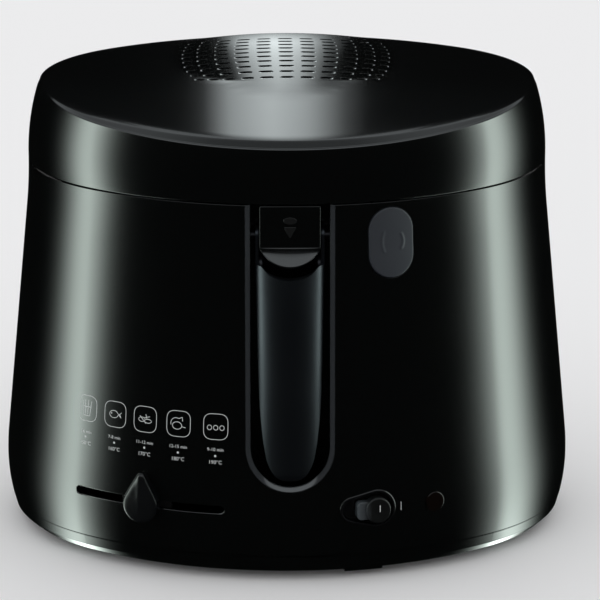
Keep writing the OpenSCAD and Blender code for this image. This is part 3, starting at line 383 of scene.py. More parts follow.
SHELL = dict(
    colour=(0.0015, 0.0018, 0.0018), roughness=0.16, grain=1400, grain_height=0.0000016,
    wave_height=0.00001, Specular_IOR_Level=0.6, Coat_Weight=1.0, Coat_Roughness=0.07, Coat_IOR=1.6)
gloss_black = moulded("gloss_black_plastic", **SHELL)
wall_black = moulded("wall_plastic", **SHELL)
handle_black = moulded("handle_plastic", (0.0022, 0.0025, 0.0038), 0.36, 2400, 0.000003, 0.00001,
                       Specular_IOR_Level=0.95, Specular_Tint=(0.80, 0.88, 1.0, 1))
mark_grey = moulded("mark_plastic", (0.004, 0.004, 0.0045), 0.5, 3600, 0.000008)
button_grey = moulded("button_plastic", (0.022, 0.026, 0.034), 0.46, 3600, 0.000010)
knob_black = moulded("knob_plastic", (0.003, 0.0036, 0.0042), 0.24, 3000, 0.000003, Specular_IOR_Level=0.7)
pad_black = moulded("pad_plastic", (0.003, 0.0034, 0.004), 0.40, 3000, 0.000006)
bezel_black = moulded("bezel_plastic", (0.003, 0.003, 0.0036), 0.20, 2600, 0.000003, Specular_IOR_Level=0.7)
filter_black = moulded("filter_plastic", (0.02, 0.02, 0.021), 0.5, 2600, 0.00001)
switch_black = moulded("switch_plastic", (0.03, 0.03, 0.032), 0.5, 2600, 0.00001)
nylon = moulded("nylon", (0.006, 0.006, 0.006), 0.5, 1800, 0.000008)
terminal_cream = moulded("terminal_plastic", (0.66, 0.62, 0.5), 0.45, 1800, 0.000008)
ceramic = moulded("ceramic_body", (0.7, 0.68, 0.62), 0.55, 1200, 0.00002)
rubber = moulded("rubber", (0.018, 0.018, 0.018), 0.75, 2200, 0.00003)
silicone = moulded("silicone", (0.12, 0.12, 0.125), 0.6, 1600, 0.00001)
felt = moulded("carbon_felt", (0.03, 0.03, 0.03), 0.95, 900, 0.0006)
print("plastics made")

# %% [markdown]
# Metals are told apart by how they were worked. Drawing and brushing leave streaks along one direction, so
# their noise is squeezed across it and comes out as lines; plated and cast metal have none, and only the
# grain's size differs. A broad cloud dims every one of them in places, as handling does.

# %% Metals
CLOUD_SCALE, CLOUD_DIM = 18.0, 0.86
GLOSS_LINES, GLOSS_CLOUD, GLOSS_METAL = 0.5, 0.3, 0.6


def metal(name, colour, roughness, streak, stretch, height=0.000004):
    """Worked metal: streaks of noise drawn out along one direction vary the gloss and the height."""
    finish = Finish(name, colour, roughness, metallic=1.0)
    lines = finish.noise(streak, 4.0, stretch)
    cloud = finish.noise(CLOUD_SCALE, 3.0)
    uneven = lines * (GLOSS_LINES * roughness) + cloud * (GLOSS_CLOUD * roughness)
    finish.drive("Roughness", uneven + GLOSS_METAL * roughness)
    dull = [CLOUD_DIM * c for c in colour]
    finish.drive("Base Color", finish.mix(cloud.above(0.3, 0.75), dull, colour))
    return finish.bump(lines * height)


brushed_sheet = metal("brushed_sheet", (0.62, 0.62, 0.63), 0.32, 900, (1, 14, 14))
plated_steel = metal("plated_steel", (0.60, 0.60, 0.62), 0.30, 400, (1, 1, 1))
drawn_steel = metal("drawn_steel", (0.66, 0.66, 0.68), 0.20, 900, (1, 8, 8))
spring_steel = metal("spring_steel", (0.50, 0.50, 0.52), 0.28, 900, (1, 1, 1))
chromed_wire = metal("chromed_wire", (0.72, 0.72, 0.74), 0.14, 700, (1, 1, 1), 0.000001)
cast_aluminium = metal("cast_aluminium", (0.60, 0.60, 0.61), 0.48, 500, (1, 1, 1), 0.00003)
shield_sheet = metal("shield_sheet", (0.58, 0.58, 0.59), 0.36, 700, (12, 1, 1))
tinted_sheath = metal("tinted_sheath", (0.26, 0.24, 0.24), 0.42, 500, (1, 1, 1))
black_steel = metal("black_steel", (0.05, 0.05, 0.055), 0.42, 600, (1, 1, 1))
fuse_can = metal("fuse_can", (0.64, 0.64, 0.66), 0.3, 900, (1, 6, 6))

print("metals made")

# %% [markdown]
# Three finishes are neither. The bowl's non-stick coating is dark with pale specks, the lamp's lens is a
# dark resin that only glows when it is lit, and the ink is screen printed, so it is a little thinner and
# greyer in places.

# %% Coating, lens and ink
coating = moulded("coated_bowl", (0.028, 0.028, 0.030), 0.38, 1500, 0.00001)
speck = coating.noise(2200.0, 1.0).above(0.66, 0.72)
coating.drive("Base Color", coating.mix(speck, (0.024, 0.024, 0.026), (0.16, 0.16, 0.165)))

lens_amber = Finish("amber_lens", (0.0030, 0.0016, 0.0012), 0.12)
lens_amber.bump(lens_amber.noise(900.0) * 0.000004)

ink_grey = Finish("print_ink", (0.50, 0.52, 0.52), 0.5)
cover = ink_grey.noise(1600.0, 2.0).above(0.25, 0.8)
ink_grey.drive("Base Color", ink_grey.mix(cover, (0.46, 0.48, 0.48), (0.66, 0.68, 0.68)))
print("coating, lens and ink made")

# %% [markdown]
# Two plastics carry painted highlights. The chamfer round the handle recess is painted a little paler than
# the wall:
# its slope catches real light, and the paler colour adds a painted highlight. It could be a strip of its
# own, but it is the same moulding as the wall, so it is a mask: the distance to the recess' middle line,
# between two radii. The switch's pad has a painted highlight: paler on its left and fading to black on its
# right, so its mask is just the distance across.

# %% Plastics with painted highlights
# Where the painted highlights lie: a band round the recess chamfer, and a fade across the switch pad.
HIGHLIGHT_BAND_IN, HIGHLIGHT_BAND_OUT = (0.0241, 0.0245), (0.0268, 0.0274)
HIGHLIGHT_BAND_MIDDLE_Z, HIGHLIGHT_BAND_Y, HIGHLIGHT_BAND_TOP = 0.0865, (-0.10, -0.09), (0.2360, 0.2362)
PAD_HIGHLIGHT_FADE = 0.0405, 0.0500


def axes(finish):
    """The three Object coordinates, each as a socket."""
    split = finish.add("ShaderNodeSeparateXYZ", Vector=finish.place())
    return [Socket(finish.tree, split.socket.node.outputs[k]) for k in range(3)]


# Painted highlight on the recess chamfer: a band of paler wall colour round the recess, on top of the
# chamfer's real slope.
across, along, up = axes(wall_black)
drop = (up - HIGHLIGHT_BAND_MIDDLE_Z).lower(0.0)
ring = (across * across + drop * drop).root()
painted_highlight_band = ring.above(*HIGHLIGHT_BAND_IN) * (1 - ring.above(*HIGHLIGHT_BAND_OUT)) * (1 - along.above(*HIGHLIGHT_BAND_Y))
painted_highlight_band = painted_highlight_band * (1 - up.above(*HIGHLIGHT_BAND_TOP))
wall_black.drive("Base Color", wall_black.mix(painted_highlight_band, SHELL["colour"], (0.026, 0.029, 0.032)))
# Painted highlight on the switch pad: a paler colour on its left, fading to the pad's own black on its
# right.
pad_painted_highlight = axes(pad_black)[0].above(*PAD_HIGHLIGHT_FADE)
pad_black.drive("Base Color", pad_black.mix(pad_painted_highlight, (0.050, 0.060, 0.068), (0.003, 0.0034, 0.004)))
print("changing plastics made")

# %% [markdown]
# ## Finishing the pieces that keep their solid
# Pins, springs, the basket, the bowl and everything under the shells already have the right shape in the
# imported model, so making them again would only add faults. They only swap their plain slot for a finish.

# %% Finishes of the solids
SOLID_FINISH = {
    "base_cover": gloss_black, "rubber_feet": rubber, "base_screws": plated_steel, "cord_gland": rubber,
    "terminal_block": terminal_cream, "bowl": coating, "heater_plate": cast_aluminium,
    "heating_element": tinted_sheath, "heat_shield": shield_sheet, "thermal_fuse": fuse_can,
    "thermostat_body": ceramic, "thermostat_lever": plated_steel, "slider_carrier": nylon,
    "switch_body": switch_black, "lid_liner": brushed_sheet, "lid_seal": silicone,
    "filter_holder": filter_black, "filter_pad": felt, "filter_grille": brushed_sheet,
    "liner_screws": plated_steel, "lid_catch": plated_steel, "lid_hinge_pins": drawn_steel,
    "lid_hinge_spring": spring_steel, "latch_hook": plated_steel, "button_spring": spring_steel,
    "handle_pivot_pins": black_steel, "slide_block": gloss_black, "release_spring": spring_steel,
    "lift_links": black_steel, "lift_carriage": plated_steel, "lift_guide_rods": drawn_steel,
    "rod_bracket": plated_steel, "basket_frame": chromed_wire, "basket_mesh": chromed_wire,
    "basket_bracket": plated_steel,
}
for node, finish in SOLID_FINISH.items():
    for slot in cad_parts[node].material_slots:
        slot.material = finish.material
print("solids finished:", len(SOLID_FINISH))

# %% [markdown]
# ## Openings in the wall
# The front wall has five openings: the handle recess, the slider's slot, the switch, the lamp and the
# lid button. Each is described by its distance function: negative inside, zero on the edge. Grid points
# near an edge are moved onto it, and the faces inside are left out, so every edge is a true curve.

# %% Outlines of the openings
DIAL_TURN, DIAL_SWING = math.radians(-24.6), math.radians(11.8)
SWITCH_TURN = math.radians(12.7)
LAMP_TURN = math.radians(24.4)
BUTTON_TURN = math.radians(17.8)
CONTROL_Z, BUTTON_Z = 47.0, 211.0
RECESS_HALF, RECESS_END, RECESS_FLOOR = 24.0, 86.5, -107.0
SLOT_HEIGHT, SLOT_OVERRUN = 5.0, 5.0
SWITCH_HULL = 5.8, 12.0, -9.0, 8.6
BUTTON_REACH, BUTTON_HOLE, BUTTON_CAP = 7.4, 14.6, 14.2
LAMP_HOLE, LAMP_LENS = 6.5, 6.2


def capsule(u, v, reach_u, reach_v, radius):
    """Distance to a bar with round ends; reach is its straight half length along u and along v."""
    return np.hypot(np.maximum(np.abs(u) - reach_u, 0), np.maximum(np.abs(v) - reach_v, 0)) - radius


def pear(u, v, u0, r0, u1, r1):
    """Distance to the hull of two circles on the u axis."""
    length = u0 - u1
    lean = (r0 - r1) / length
    along = (u - u1) * math.sqrt(1 - lean * lean) + np.abs(v) * lean
    share = np.clip(along / (length * math.sqrt(1 - lean * lean)), 0, 1)
    return np.hypot(u - (u1 + share * length), v) - (r1 + share * (r0 - r1))


def recess_distance(x, z):
    """Distance to the U: from its middle line above, and from the centre of its bend below."""
    return np.hypot(x, np.minimum(z - RECESS_END, 0)) - RECESS_HALF


def slot_distance(u, v):
    """The slider's slot: a level bar as long as the knob's path and a little more."""
    reach = DIAL_SWING * front_radius(CONTROL_Z) + SLOT_OVERRUN
    return capsule(u, v, reach, 0, SLOT_HEIGHT / 2)


def switch_distance(u, v):
    """The switch's opening: the hull of a large circle and a small one."""
    return pear(u, v, *SWITCH_HULL)


def button_distance(u, v):
    """The lid button's opening: an upright bar with round ends."""
    return capsule(u, v, 0, BUTTON_REACH, BUTTON_HOLE)


def lamp_distance(u, v):
    """The lamp's opening: a circle."""
    return np.hypot(u, v) - LAMP_HOLE


OPENINGS = (
    (DIAL_TURN, CONTROL_Z, slot_distance, 0.5),
    (SWITCH_TURN, CONTROL_Z, switch_distance, -0.6),
    (LAMP_TURN, CONTROL_Z, lamp_distance, 0.2),
    (BUTTON_TURN, BUTTON_Z, button_distance, 0.5),
)
NEAR_TURN, FAR = 0.5, 99.0
RECESS_ROLL = 3.3


def opening_distance(turn, z):
    """Distance to the nearest edge, over all openings, with the size of each rolled edge added."""
    x = plan(body_half(z), turn)[0]
    nearest = np.where(np.abs(turn) < NEAR_TURN, recess_distance(x, z) - RECESS_ROLL, FAR)
    for middle, height, distance, roll in OPENINGS:
        u = (turn - middle) * front_radius(z)
        near = distance(u, z - height) - roll
        nearest = np.minimum(nearest, np.where(np.abs(turn - middle) < NEAR_TURN, near, FAR))
    return nearest


print("openings", 1 + len(OPENINGS))

# %% [markdown]
# ### Cutting the openings
# A Boolean modifier could cut the wall, but it leaves long thin triangles that shade badly. Here the grid
# gives way instead: points near an edge slide onto it, down the slope of the distance function, and the
# triangles inside are left out.

# %% The wall's grid, cut by the openings


def snapped_wall(turns, heights):
    """The grid of turns and heights with points near an edge moved onto it, and each point's distance."""
    turn, z = np.meshgrid(turns, heights, indexing="ij")
    step_u = np.gradient(turn, axis=0) * front_radius(z)
    step_v = np.gradient(z, axis=1)
    for _ in range(3):
        here = opening_distance(turn, z)
        slope_u = (opening_distance(turn + 0.001, z) - opening_distance(turn - 0.001, z)) / 0.002
        slope_u = slope_u / front_radius(z)
        slope_v = (opening_distance(turn, z + 0.2) - opening_distance(turn, z - 0.2)) / 0.4
        size = np.maximum(slope_u ** 2 + slope_v ** 2, 0.25)
        reach = 0.5 * np.hypot(step_u * slope_u, step_v * slope_v) + 0.02
        close = np.abs(here) <= reach
        turn = turn - np.where(close, here * slope_u / size / front_radius(z), 0)
        z = z - np.where(close, here * slope_v / size, 0)
    return turn, z, np.where(close, 0.0, here)


def cut_faces(distance, wrap=True):
    """Triangles of the grid that lie outside the openings, split along the snapped diagonal."""
    rows, cols = distance.shape
    index = np.arange(rows * cols).reshape(rows, cols)
    index = np.concatenate([index, index[:1]], 0) if wrap else index
    quads = np.stack([index[:-1, :-1], index[1:, :-1], index[1:, 1:], index[:-1, 1:]], -1).reshape(-1, 4)
    flat = distance.ravel()
    a, b, c, d = (flat[quads[:, k]] for k in range(4))
    other = (np.abs(b) + np.abs(d) < np.abs(a) + np.abs(c))
    first = np.where(other[:, None], quads[:, [0, 1, 3]], quads[:, [0, 1, 2]])
    second = np.where(other[:, None], quads[:, [1, 2, 3]], quads[:, [0, 2, 3]])
    triangles = np.concatenate([first, second])
    keep = flat[triangles].sum(1) > 1e-9
    triangles = triangles[keep]
    return np.concatenate([triangles, triangles[:, 2:]], 1)


def border(faces):
    """The edges that only one triangle uses, each pointing the way its triangle runs."""
    edges = np.concatenate([faces[:, [0, 1]], faces[:, [1, 2]], faces[:, [2, 0]]])
    code = edges.min(1).astype(np.int64) * (edges.max() + 1) + edges.max(1)
    _, where, count = np.unique(code, return_index=True, return_counts=True)
    return edges[where[count == 1]]


WALL = 2.6
wall_turns = even_turns(330, 172, fine=2.6)
wall_heights = np.concatenate([
    np.linspace(BASE_SEAM + 0.25, 32, 8), np.linspace(33.4, 61, 21), np.linspace(63, 185, 50),
    np.linspace(187, SEAM - 0.5, 24), [SEAM - 0.2, SEAM]])
print("wall grid", len(wall_turns), "x", len(wall_heights))

# %% [markdown]
# ## The housing
# The housing is one hollow moulding. A Solidify modifier could thicken it, but not with exact normals, so
# the wall is two copies of the same cut grid, an outer and an inner one, joined by a strip along every free
# edge. Round the small openings a collar rolls the edge over: a quarter circle that starts level with the
# wall and ends square to it. That roll draws the thin line of light round each of them.

# %% The wall of the housing
turn_grid, z_grid, distance_grid = snapped_wall(wall_turns, wall_heights)
wall_faces = cut_faces(distance_grid)


def wall_layer(out, flip):
    """The cut grid at one depth, with normals taken from the wall's own formula."""
    points = wall_point(turn_grid, z_grid, out)
    outward = wall_point(turn_grid, z_grid, 1.0) - wall_point(turn_grid, z_grid, 0.0)
    lip = 1.0 - np.clip((SEAM - z_grid) / 0.5, 0, 1)
    if not flip:
        outward = outward + lip[..., None] * np.array([0, 0, 0.8])
        points = points - lip[..., None] * 0.25 * outward
    outward /= np.linalg.norm(outward, axis=-1, keepdims=True)
    faces = wall_faces[:, [0, 2, 1, 1]] if flip else wall_faces
    return points.reshape(-1, 3), faces, (-outward if flip else outward).reshape(-1, 3)


outer_layer, inner_layer = wall_layer(0.0, False), wall_layer(-WALL, True)
rim = border(wall_faces[:, :3])
rim_points = np.stack([outer_layer[0][rim], inner_layer[0][rim]], 1)
rim_faces = np.arange(len(rim) * 4).reshape(-1, 4)[:, [1, 0, 2, 3]]
rim_corners = rim_points.reshape(-1, 4, 3)
rim_normal = np.cross(rim_corners[:, 2] - rim_corners[:, 0], rim_corners[:, 1] - rim_corners[:, 0])
rim_normal /= np.maximum(np.linalg.norm(rim_normal, axis=1, keepdims=True), 1e-9)
rim_strip = (rim_corners.reshape(-1, 3), rim_faces, np.repeat(rim_normal, 4, 0))


def ring_path(distance, radius_guess, count, centre=(0.0, 0.0), grow=0.0):
    """The closed curve where a distance function equals grow, found along rays from the centre."""
    angle = np.linspace(0, 2 * np.pi, count, endpoint=False)
    low, high = np.zeros(count), np.full(count, radius_guess)
    for _ in range(40):
        middle = (low + high) / 2
        inside = distance(centre[0] + middle * np.cos(angle), centre[1] + middle * np.sin(angle)) < grow
        low, high = np.where(inside, middle, low), np.where(inside, high, middle)
    return centre[0] + low * np.cos(angle), centre[1] + low * np.sin(angle)


def collar(middle, height, distance, roll, reach, depth, count):
    """A rolled edge round an opening: quarter circle of radius roll, then straight in to the depth."""
    angle = np.linspace(0, np.pi / 2, 6)
    grows = np.concatenate([roll * (1 - np.sin(angle)), [0.0]])
    sinks = np.concatenate([roll * (1 - np.cos(angle)), [depth]])
    rows = []
    for grow, sink in zip(grows, sinks):
        u, v = ring_path(distance, reach, count, grow=grow)
        rows.append(wall_point(middle + u / front_radius(height + v), height + v, -sink))
    return patch(np.stack(rows, 1), wrap_u=True, flip=True)


collars = [
    collar(DIAL_TURN, CONTROL_Z, slot_distance, 0.5, 60, 3.6, 240),
    collar(LAMP_TURN, CONTROL_Z, lamp_distance, 0.2, 12, 3.2, 64),
    collar(BUTTON_TURN, BUTTON_Z, button_distance, 0.5, 30, 5.0, 96),
]

# %% [markdown]
# ### The handle recess
# The recess is a U-shaped trough into which the handle folds. A chamfer leads into it: its slope grows
# quickly at first and then slowly, and its depth is the sum of the slopes. The side follows the U from the
# top of one leg, round the lower end and up the other. The floor is flat, with two slits through which the
# lift links reach the basket.

# %% The recess
SLIT_X, SLIT_HALF, SLIT_LOW, SLIT_HIGH = 17.6, 1.6, 168, 213
LIP_SHARE = np.concatenate([np.linspace(0, 0.16, 6), np.linspace(0.24, 1, 10)])
LIP_SLOPE_AT = np.tan(np.radians(np.interp(LIP_SHARE, [0, 0.16, 1], [0, 32, 39])))
LIP_SINK = RECESS_ROLL * np.concatenate([[0.0], np.cumsum(
    np.diff(LIP_SHARE) * (LIP_SLOPE_AT[1:] + LIP_SLOPE_AT[:-1]) / 2)])


def recess_path(grow, count_leg=40, count_bend=48):
    """Points of the U, grown outwards, from the top of the left leg to the top of the right."""
    reach = RECESS_HALF + grow
    leg = np.linspace(SEAM, RECESS_END, count_leg)[:-1]
    bend = np.linspace(np.pi, 2 * np.pi, count_bend)
    x = np.concatenate([np.full(len(leg), -reach), reach * np.cos(bend), np.full(len(leg), reach)])
    z = np.concatenate([leg, RECESS_END + reach * np.sin(bend), leg[::-1]])
    return x, z


def front_y(x, z, out=0.0):
    """How far in front the outer face stands at a place given by x and z."""
    radius = front_radius(z) + out
    return FRONT_CENTRE - np.sqrt(radius ** 2 - x ** 2)


lip_rows, side_rows = [], []
for share, sink in zip(LIP_SHARE, LIP_SINK):
    x, z = recess_path(RECESS_ROLL * (1 - share))
    lip_rows.append(np.stack([x, front_y(x, z) + sink, z], -1))
x, z = recess_path(0.0)
side_start = front_y(x, z) + LIP_SINK[-1]
for share in np.linspace(0.0, 1.0, 11):
    side_rows.append(np.stack([x, side_start + (RECESS_FLOOR - side_start) * share, z], -1))
recess_lip = patch(np.stack(lip_rows, 1))
recess_side = patch(np.stack(side_rows, 1))

floor_x = np.array([-1, -0.768, -0.64, -0.4, 0, 0.4, 0.64, 0.768, 1.0])
floor_z = np.concatenate([RECESS_END - RECESS_HALF * np.cos(np.linspace(0, np.pi / 2, 16)),
                          np.linspace(RECESS_END, SEAM, 31)[1:]])
floor_half = np.sqrt(np.maximum(RECESS_HALF ** 2 - np.minimum(floor_z - RECESS_END, 0) ** 2, 0.0))
floor_grid = np.stack(np.broadcast_arrays(
    floor_x[:, None] * floor_half[None], RECESS_FLOOR, floor_z[None]), -1).astype(float)
floor_points, floor_faces, _ = patch(floor_grid)
middle_of = floor_points[floor_faces].mean(1)
in_slit = np.abs(np.abs(middle_of[:, 0]) - SLIT_X) < SLIT_HALF
in_slit &= (middle_of[:, 2] > SLIT_LOW) & (middle_of[:, 2] < SLIT_HIGH)
recess_floor = (floor_points, floor_faces[~in_slit], np.tile([0.0, -1.0, 0.0], (len(floor_points), 1)))
print("recess rows", len(lip_rows) + len(side_rows), "floor faces", len(recess_floor[1]))

# %% [markdown]
# ### The deck
# The deck is the shelf inside the mouth on which the bowl's flange rests. It shows when the lid is open. It
# could be a flat disc with a hole, but the mouth is an oval with the recess cut out of its front, so each
# row of the deck is the oval at one half width, held back where it would cross the recess.

# %% The deck
_, bowl_high = (np.array(c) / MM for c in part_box("bowl"))
DECK_TOP = bowl_high[2] - 1.5
DECK_HALF, DECK_THICK = 132.0, 2.7
deck_turns = even_turns(240, 150)
deck_rows = []
DECK_PROFILE = [
    (DECK_HALF, DECK_TOP - DECK_THICK), (DECK_HALF, DECK_TOP - 0.3), (DECK_HALF + 0.3, DECK_TOP),
    (140.0, DECK_TOP), (150.0, DECK_TOP), (body_half(DECK_TOP) - WALL, DECK_TOP)]
for half, z in DECK_PROFILE:
    x, y = plan(np.full_like(deck_turns, half), deck_turns)
    y = np.where((np.abs(x) < RECESS_HALF + 2) & (y < 0), np.maximum(y, RECESS_FLOOR + WALL), y)
    deck_rows.append(np.stack([x, y, np.full_like(x, z)], -1))
deck = patch(np.stack(deck_rows, 1), wrap_u=True)
deck_under = patch(np.stack([deck_rows[-1] - [0, 0, DECK_THICK], deck_rows[0]], 1), wrap_u=True)
print("deck at height", round(DECK_TOP, 1))

# %% [markdown]
# ### Blocks with rounded edges
# Small moulded parts are outlines raised to a thickness. A Bevel modifier could round them; here the
# outline steps inwards while it rises, on a quarter circle at each end, so the normals are exact too.

# %% Outlines and blocks


def rounded_outline(points, radius, steps=5):
    """A closed outline with each corner replaced by an arc of up to the given radius."""
    points = np.asarray(points, float)
    before, after = np.roll(points, 1, 0) - points, np.roll(points, -1, 0) - points
    length_b = np.linalg.norm(before, axis=1, keepdims=True)
    length_a = np.linalg.norm(after, axis=1, keepdims=True)
    cut = np.minimum(radius, 0.45 * np.minimum(length_b, length_a))
    start, end = points + before / length_b * cut, points + after / length_a * cut
    share = np.linspace(0, 1, steps)[None, :, None]
    curve = ((1 - share) ** 2 * start[:, None] + 2 * share * (1 - share) * points[:, None]
             + share ** 2 * end[:, None])
    return curve.reshape(-1, points.shape[1])


def inset_outline(points, amount):
    """An outline moved inwards along its normals."""
    tangent = np.roll(points, -1, 0) - np.roll(points, 1, 0)
    tangent /= np.maximum(np.linalg.norm(tangent, axis=1, keepdims=True), 1e-9)
    area = np.sum(points[:, 0] * np.roll(points[:, 1], -1) - np.roll(points[:, 0], -1) * points[:, 1])
    normal = np.stack([-tangent[:, 1], tangent[:, 0]], -1) * np.sign(area)
    return points + normal * amount


def block(outline, low, high, place, edge=0.5):
    """An outline raised from low to high with rounded edges; place maps (u, v, height) to the model."""
    angle = np.linspace(0, np.pi / 2, 5)
    insets = np.concatenate([edge * (1 - np.sin(angle)), edge * (1 - np.cos(angle))])
    heights = np.concatenate([low + edge * (1 - np.cos(angle)), high - edge * (1 - np.sin(angle))])
    rows = [place(*inset_outline(outline, i).T, np.full(len(outline), h)) for i, h in zip(insets, heights)]
    grid = np.stack(rows, 1)
    side = patch(grid, wrap_u=True)
    centre = grid.mean((0, 1))
    if np.sum((grid[:, 4] - centre) * side[2].reshape(grid.shape)[:, 4]) < 0:
        side = patch(grid, wrap_u=True, flip=True)
    top_normal = place(0.0, 0.0, high) - place(0.0, 0.0, low)
    top_normal = top_normal / np.linalg.norm(top_normal)
    return [side, fan(grid[:, -1], top_normal), fan(grid[:, 0], -top_normal)]


def along_x(u, v, height):
    """Places an outline in the YZ plane, raised along X."""
    return np.stack(np.broadcast_arrays(height, u, v), -1)

# %% [markdown]
# ### The hinge ears
# Two ears behind the mouth carry the lid's pins. Their outline climbs the wall and ends in an arc round the
# pin. With them the housing is complete, and all its patches become one mesh and one piece.

# %% The ears, and the housing as one piece
HINGE_Y, HINGE_Z, HINGE_R = 134.0, 240.0, 6.0
EAR_X, EAR_HALF = 38, 4
ear_outline = np.concatenate([
    np.array([[120.9, 235.0], [120.9, 215.0], [130.0, 222.5], [139.0, 229.0]]),
    np.stack([HINGE_Y + HINGE_R * np.cos(np.linspace(-0.3, np.pi, 16)),
              HINGE_Z + HINGE_R * np.sin(np.linspace(-0.3, np.pi, 16))], -1),
    np.array([[128.0, 235.0]])])
ears = []
for side in (-1, 1):
    ears += block(ear_outline, side * EAR_X - EAR_HALF, side * EAR_X + EAR_HALF, along_x, 0.6)

make_piece(
    "housing_shell",
    [outer_layer, inner_layer, rim_strip, *collars, recess_lip, recess_side, recess_floor, deck, deck_under,
     *ears], "base", wall_black.material,
    ["housing", "handle_recess", "inner_deck", "hinge_ears", "inlet_panel"])

# %% [markdown]
# ## The lid
# The lid's side leans in a little on its way up. Its top is a level plane behind and two sloping planes
# in front, with a shallow pillow risen in the middle. The top's height is one formula of x and y, so the
# same function places the points, finds the normals and tells the vents where the surface is.

# %% The lid's height
LID_Z, RIM_Z, DOME_Z = SEAM + 0.8, 286.6, lid_high[2] - 0.7
LID_WALL, LID_UPRIGHT = 2.6, 3
RIM_INSET = 7.8
LID_ARC = ((RIM_Z - LID_Z - LID_UPRIGHT) ** 2 + RIM_INSET ** 2) / (2 * RIM_INSET)
SLOPE_START, RIM_SLOPE, INNER_SLOPE, LIP_SLOPE = -16.0, math.tan(math.radians(9)), 0.1247, 0.55
DOME_Y, DOME_R = 54.0, 520.0
RIM_ROLL = 1.6


def lid_half(z):
    """Half width of the lid's side at height z."""
    return arc_half(LID_ARC, LID_Z + LID_UPRIGHT, np.maximum(z, LID_Z + LID_UPRIGHT), MOUTH_HALF)


def rim_height(y):
    """The rim: level behind, and falling to the front at one slope."""
    return RIM_Z - RIM_SLOPE * np.maximum(SLOPE_START - y, 0)


def soft_min(a, b, reach):
    """The lower of two heights with the crease between them rounded over the reach."""
    share = np.clip(0.5 + 0.5 * (b - a) / reach, 0, 1)
    return b + (a - b) * share - reach * share * (1 - share)


def lid_height(x, y):
    """The lid's top: the lower of the inner plane and the lip, with the pillow raised out of it."""
    inward = lid_half(rim_height(y)) - half_at(x, y)
    inner = RIM_Z - INNER_SLOPE * np.maximum(SLOPE_START - y, 0)
    flat = soft_min(inner, rim_height(y) + LIP_SLOPE * inward, 0.25)
    pillow = DOME_Z - DOME_R + np.sqrt(DOME_R ** 2 - x ** 2 - (y - DOME_Y) ** 2)
    return -soft_min(-flat, -pillow, 0.5)


def height_normal(x, y, step=0.05):
    """Normal of the height formula, from its slopes along x and y."""
    slope_x = (lid_height(x + step, y) - lid_height(x - step, y)) / (2 * step)
    slope_y = (lid_height(x, y + step) - lid_height(x, y - step)) / (2 * step)
    normal = np.stack([-slope_x, -slope_y, np.ones_like(slope_x)], -1)
    return normal / np.linalg.norm(normal, axis=-1, keepdims=True)

# %% [markdown]
# ### The vents
# The vents stand in level rows. Their columns close up towards the sides like lines on a globe, and each
# slot gets shorter with them. All slots together are again one distance function.

# %% The vent field
VENT_ROWS, VENT_PITCH, VENT_FIRST = 10, 10.9, -10.0
VENT_MIDDLE_ROW, VENT_SPREAD, VENT_SHORTEST = 5.5, 11.0, 3.8
VENT_LONG, VENT_THICK, VENT_ROUND, VENT_TURN = 8.3, 3.4, 80.0, math.radians(10.5)

vent_slots = []
for row in range(VENT_ROWS):
    bulge = math.sqrt(1 - ((row - VENT_MIDDLE_ROW) / VENT_SPREAD) ** 2)
    for column in range(-8, 9):
        length = VENT_LONG * bulge * math.cos(column * VENT_TURN)
        if length > VENT_SHORTEST:
            vent_slots.append((VENT_ROUND * bulge * math.sin(column * VENT_TURN),
                               VENT_FIRST + row * VENT_PITCH, length))
vent_slots = np.array(vent_slots)


def vent_distance(x, y):
    """Distance to the nearest slot. Rows are looked up by y, so only one row is measured."""
    row = np.clip(np.round((y - VENT_FIRST) / VENT_PITCH), 0, VENT_ROWS - 1)
    nearest = np.full(np.shape(x), FAR)
    for slot_x, slot_y, length in vent_slots:
        same = row == round((slot_y - VENT_FIRST) / VENT_PITCH)
        reach = (length - VENT_THICK) / 2
        gap = np.hypot(np.maximum(np.abs(x - slot_x) - reach, 0), y - slot_y) - VENT_THICK / 2
        nearest = np.where(same & (gap < nearest), gap, nearest)
    return nearest


field_x = np.linspace(-84, 84, 190)
offsets = np.array([-5.45, -4.0, -2.8, -2.2, -1.7, -1.1, -0.55, 0, 0.55, 1.1, 1.7, 2.2, 2.8, 4.0])
field_y = np.concatenate([VENT_FIRST + r * VENT_PITCH + offsets for r in range(VENT_ROWS)]
                         + [[VENT_FIRST + (VENT_ROWS - 0.5) * VENT_PITCH]])
field_px, field_py = np.meshgrid(field_x, field_y, indexing="ij")
step_x = field_x[1] - field_x[0]
step_y = np.broadcast_to(np.gradient(field_y), field_px.shape)
inner_points = np.zeros(field_px.shape, bool)
inner_points[1:-1, 1:-1] = True
for _ in range(3):
    field_gap = vent_distance(field_px, field_py)
    slope_x = (vent_distance(field_px + 0.05, field_py) - vent_distance(field_px - 0.05, field_py)) / 0.1
    slope_y = (vent_distance(field_px, field_py + 0.05) - vent_distance(field_px, field_py - 0.05)) / 0.1
    size = np.maximum(slope_x ** 2 + slope_y ** 2, 0.25)
    reach = 0.5 * np.hypot(step_x * slope_x, step_y * slope_y) + 0.02
    close = (np.abs(field_gap) <= reach) & inner_points
    field_px = field_px - np.where(close, field_gap * slope_x / size, 0)
    field_py = field_py - np.where(close, field_gap * slope_y / size, 0)
field_gap = np.where(close, 0.0, vent_distance(field_px, field_py))
field_faces = cut_faces(field_gap, wrap=False)
print("vent slots", len(vent_slots), "field faces", len(field_faces))

# %% [markdown]
# ### The lid as one skin
# A rectangle of the top carries the vents. Round it, rows of points lead from the rectangle's own border
# out to the rim, over the rolled edge, down the side, round the lower lip and back up inside, so the skin
# closes on itself without a seam.

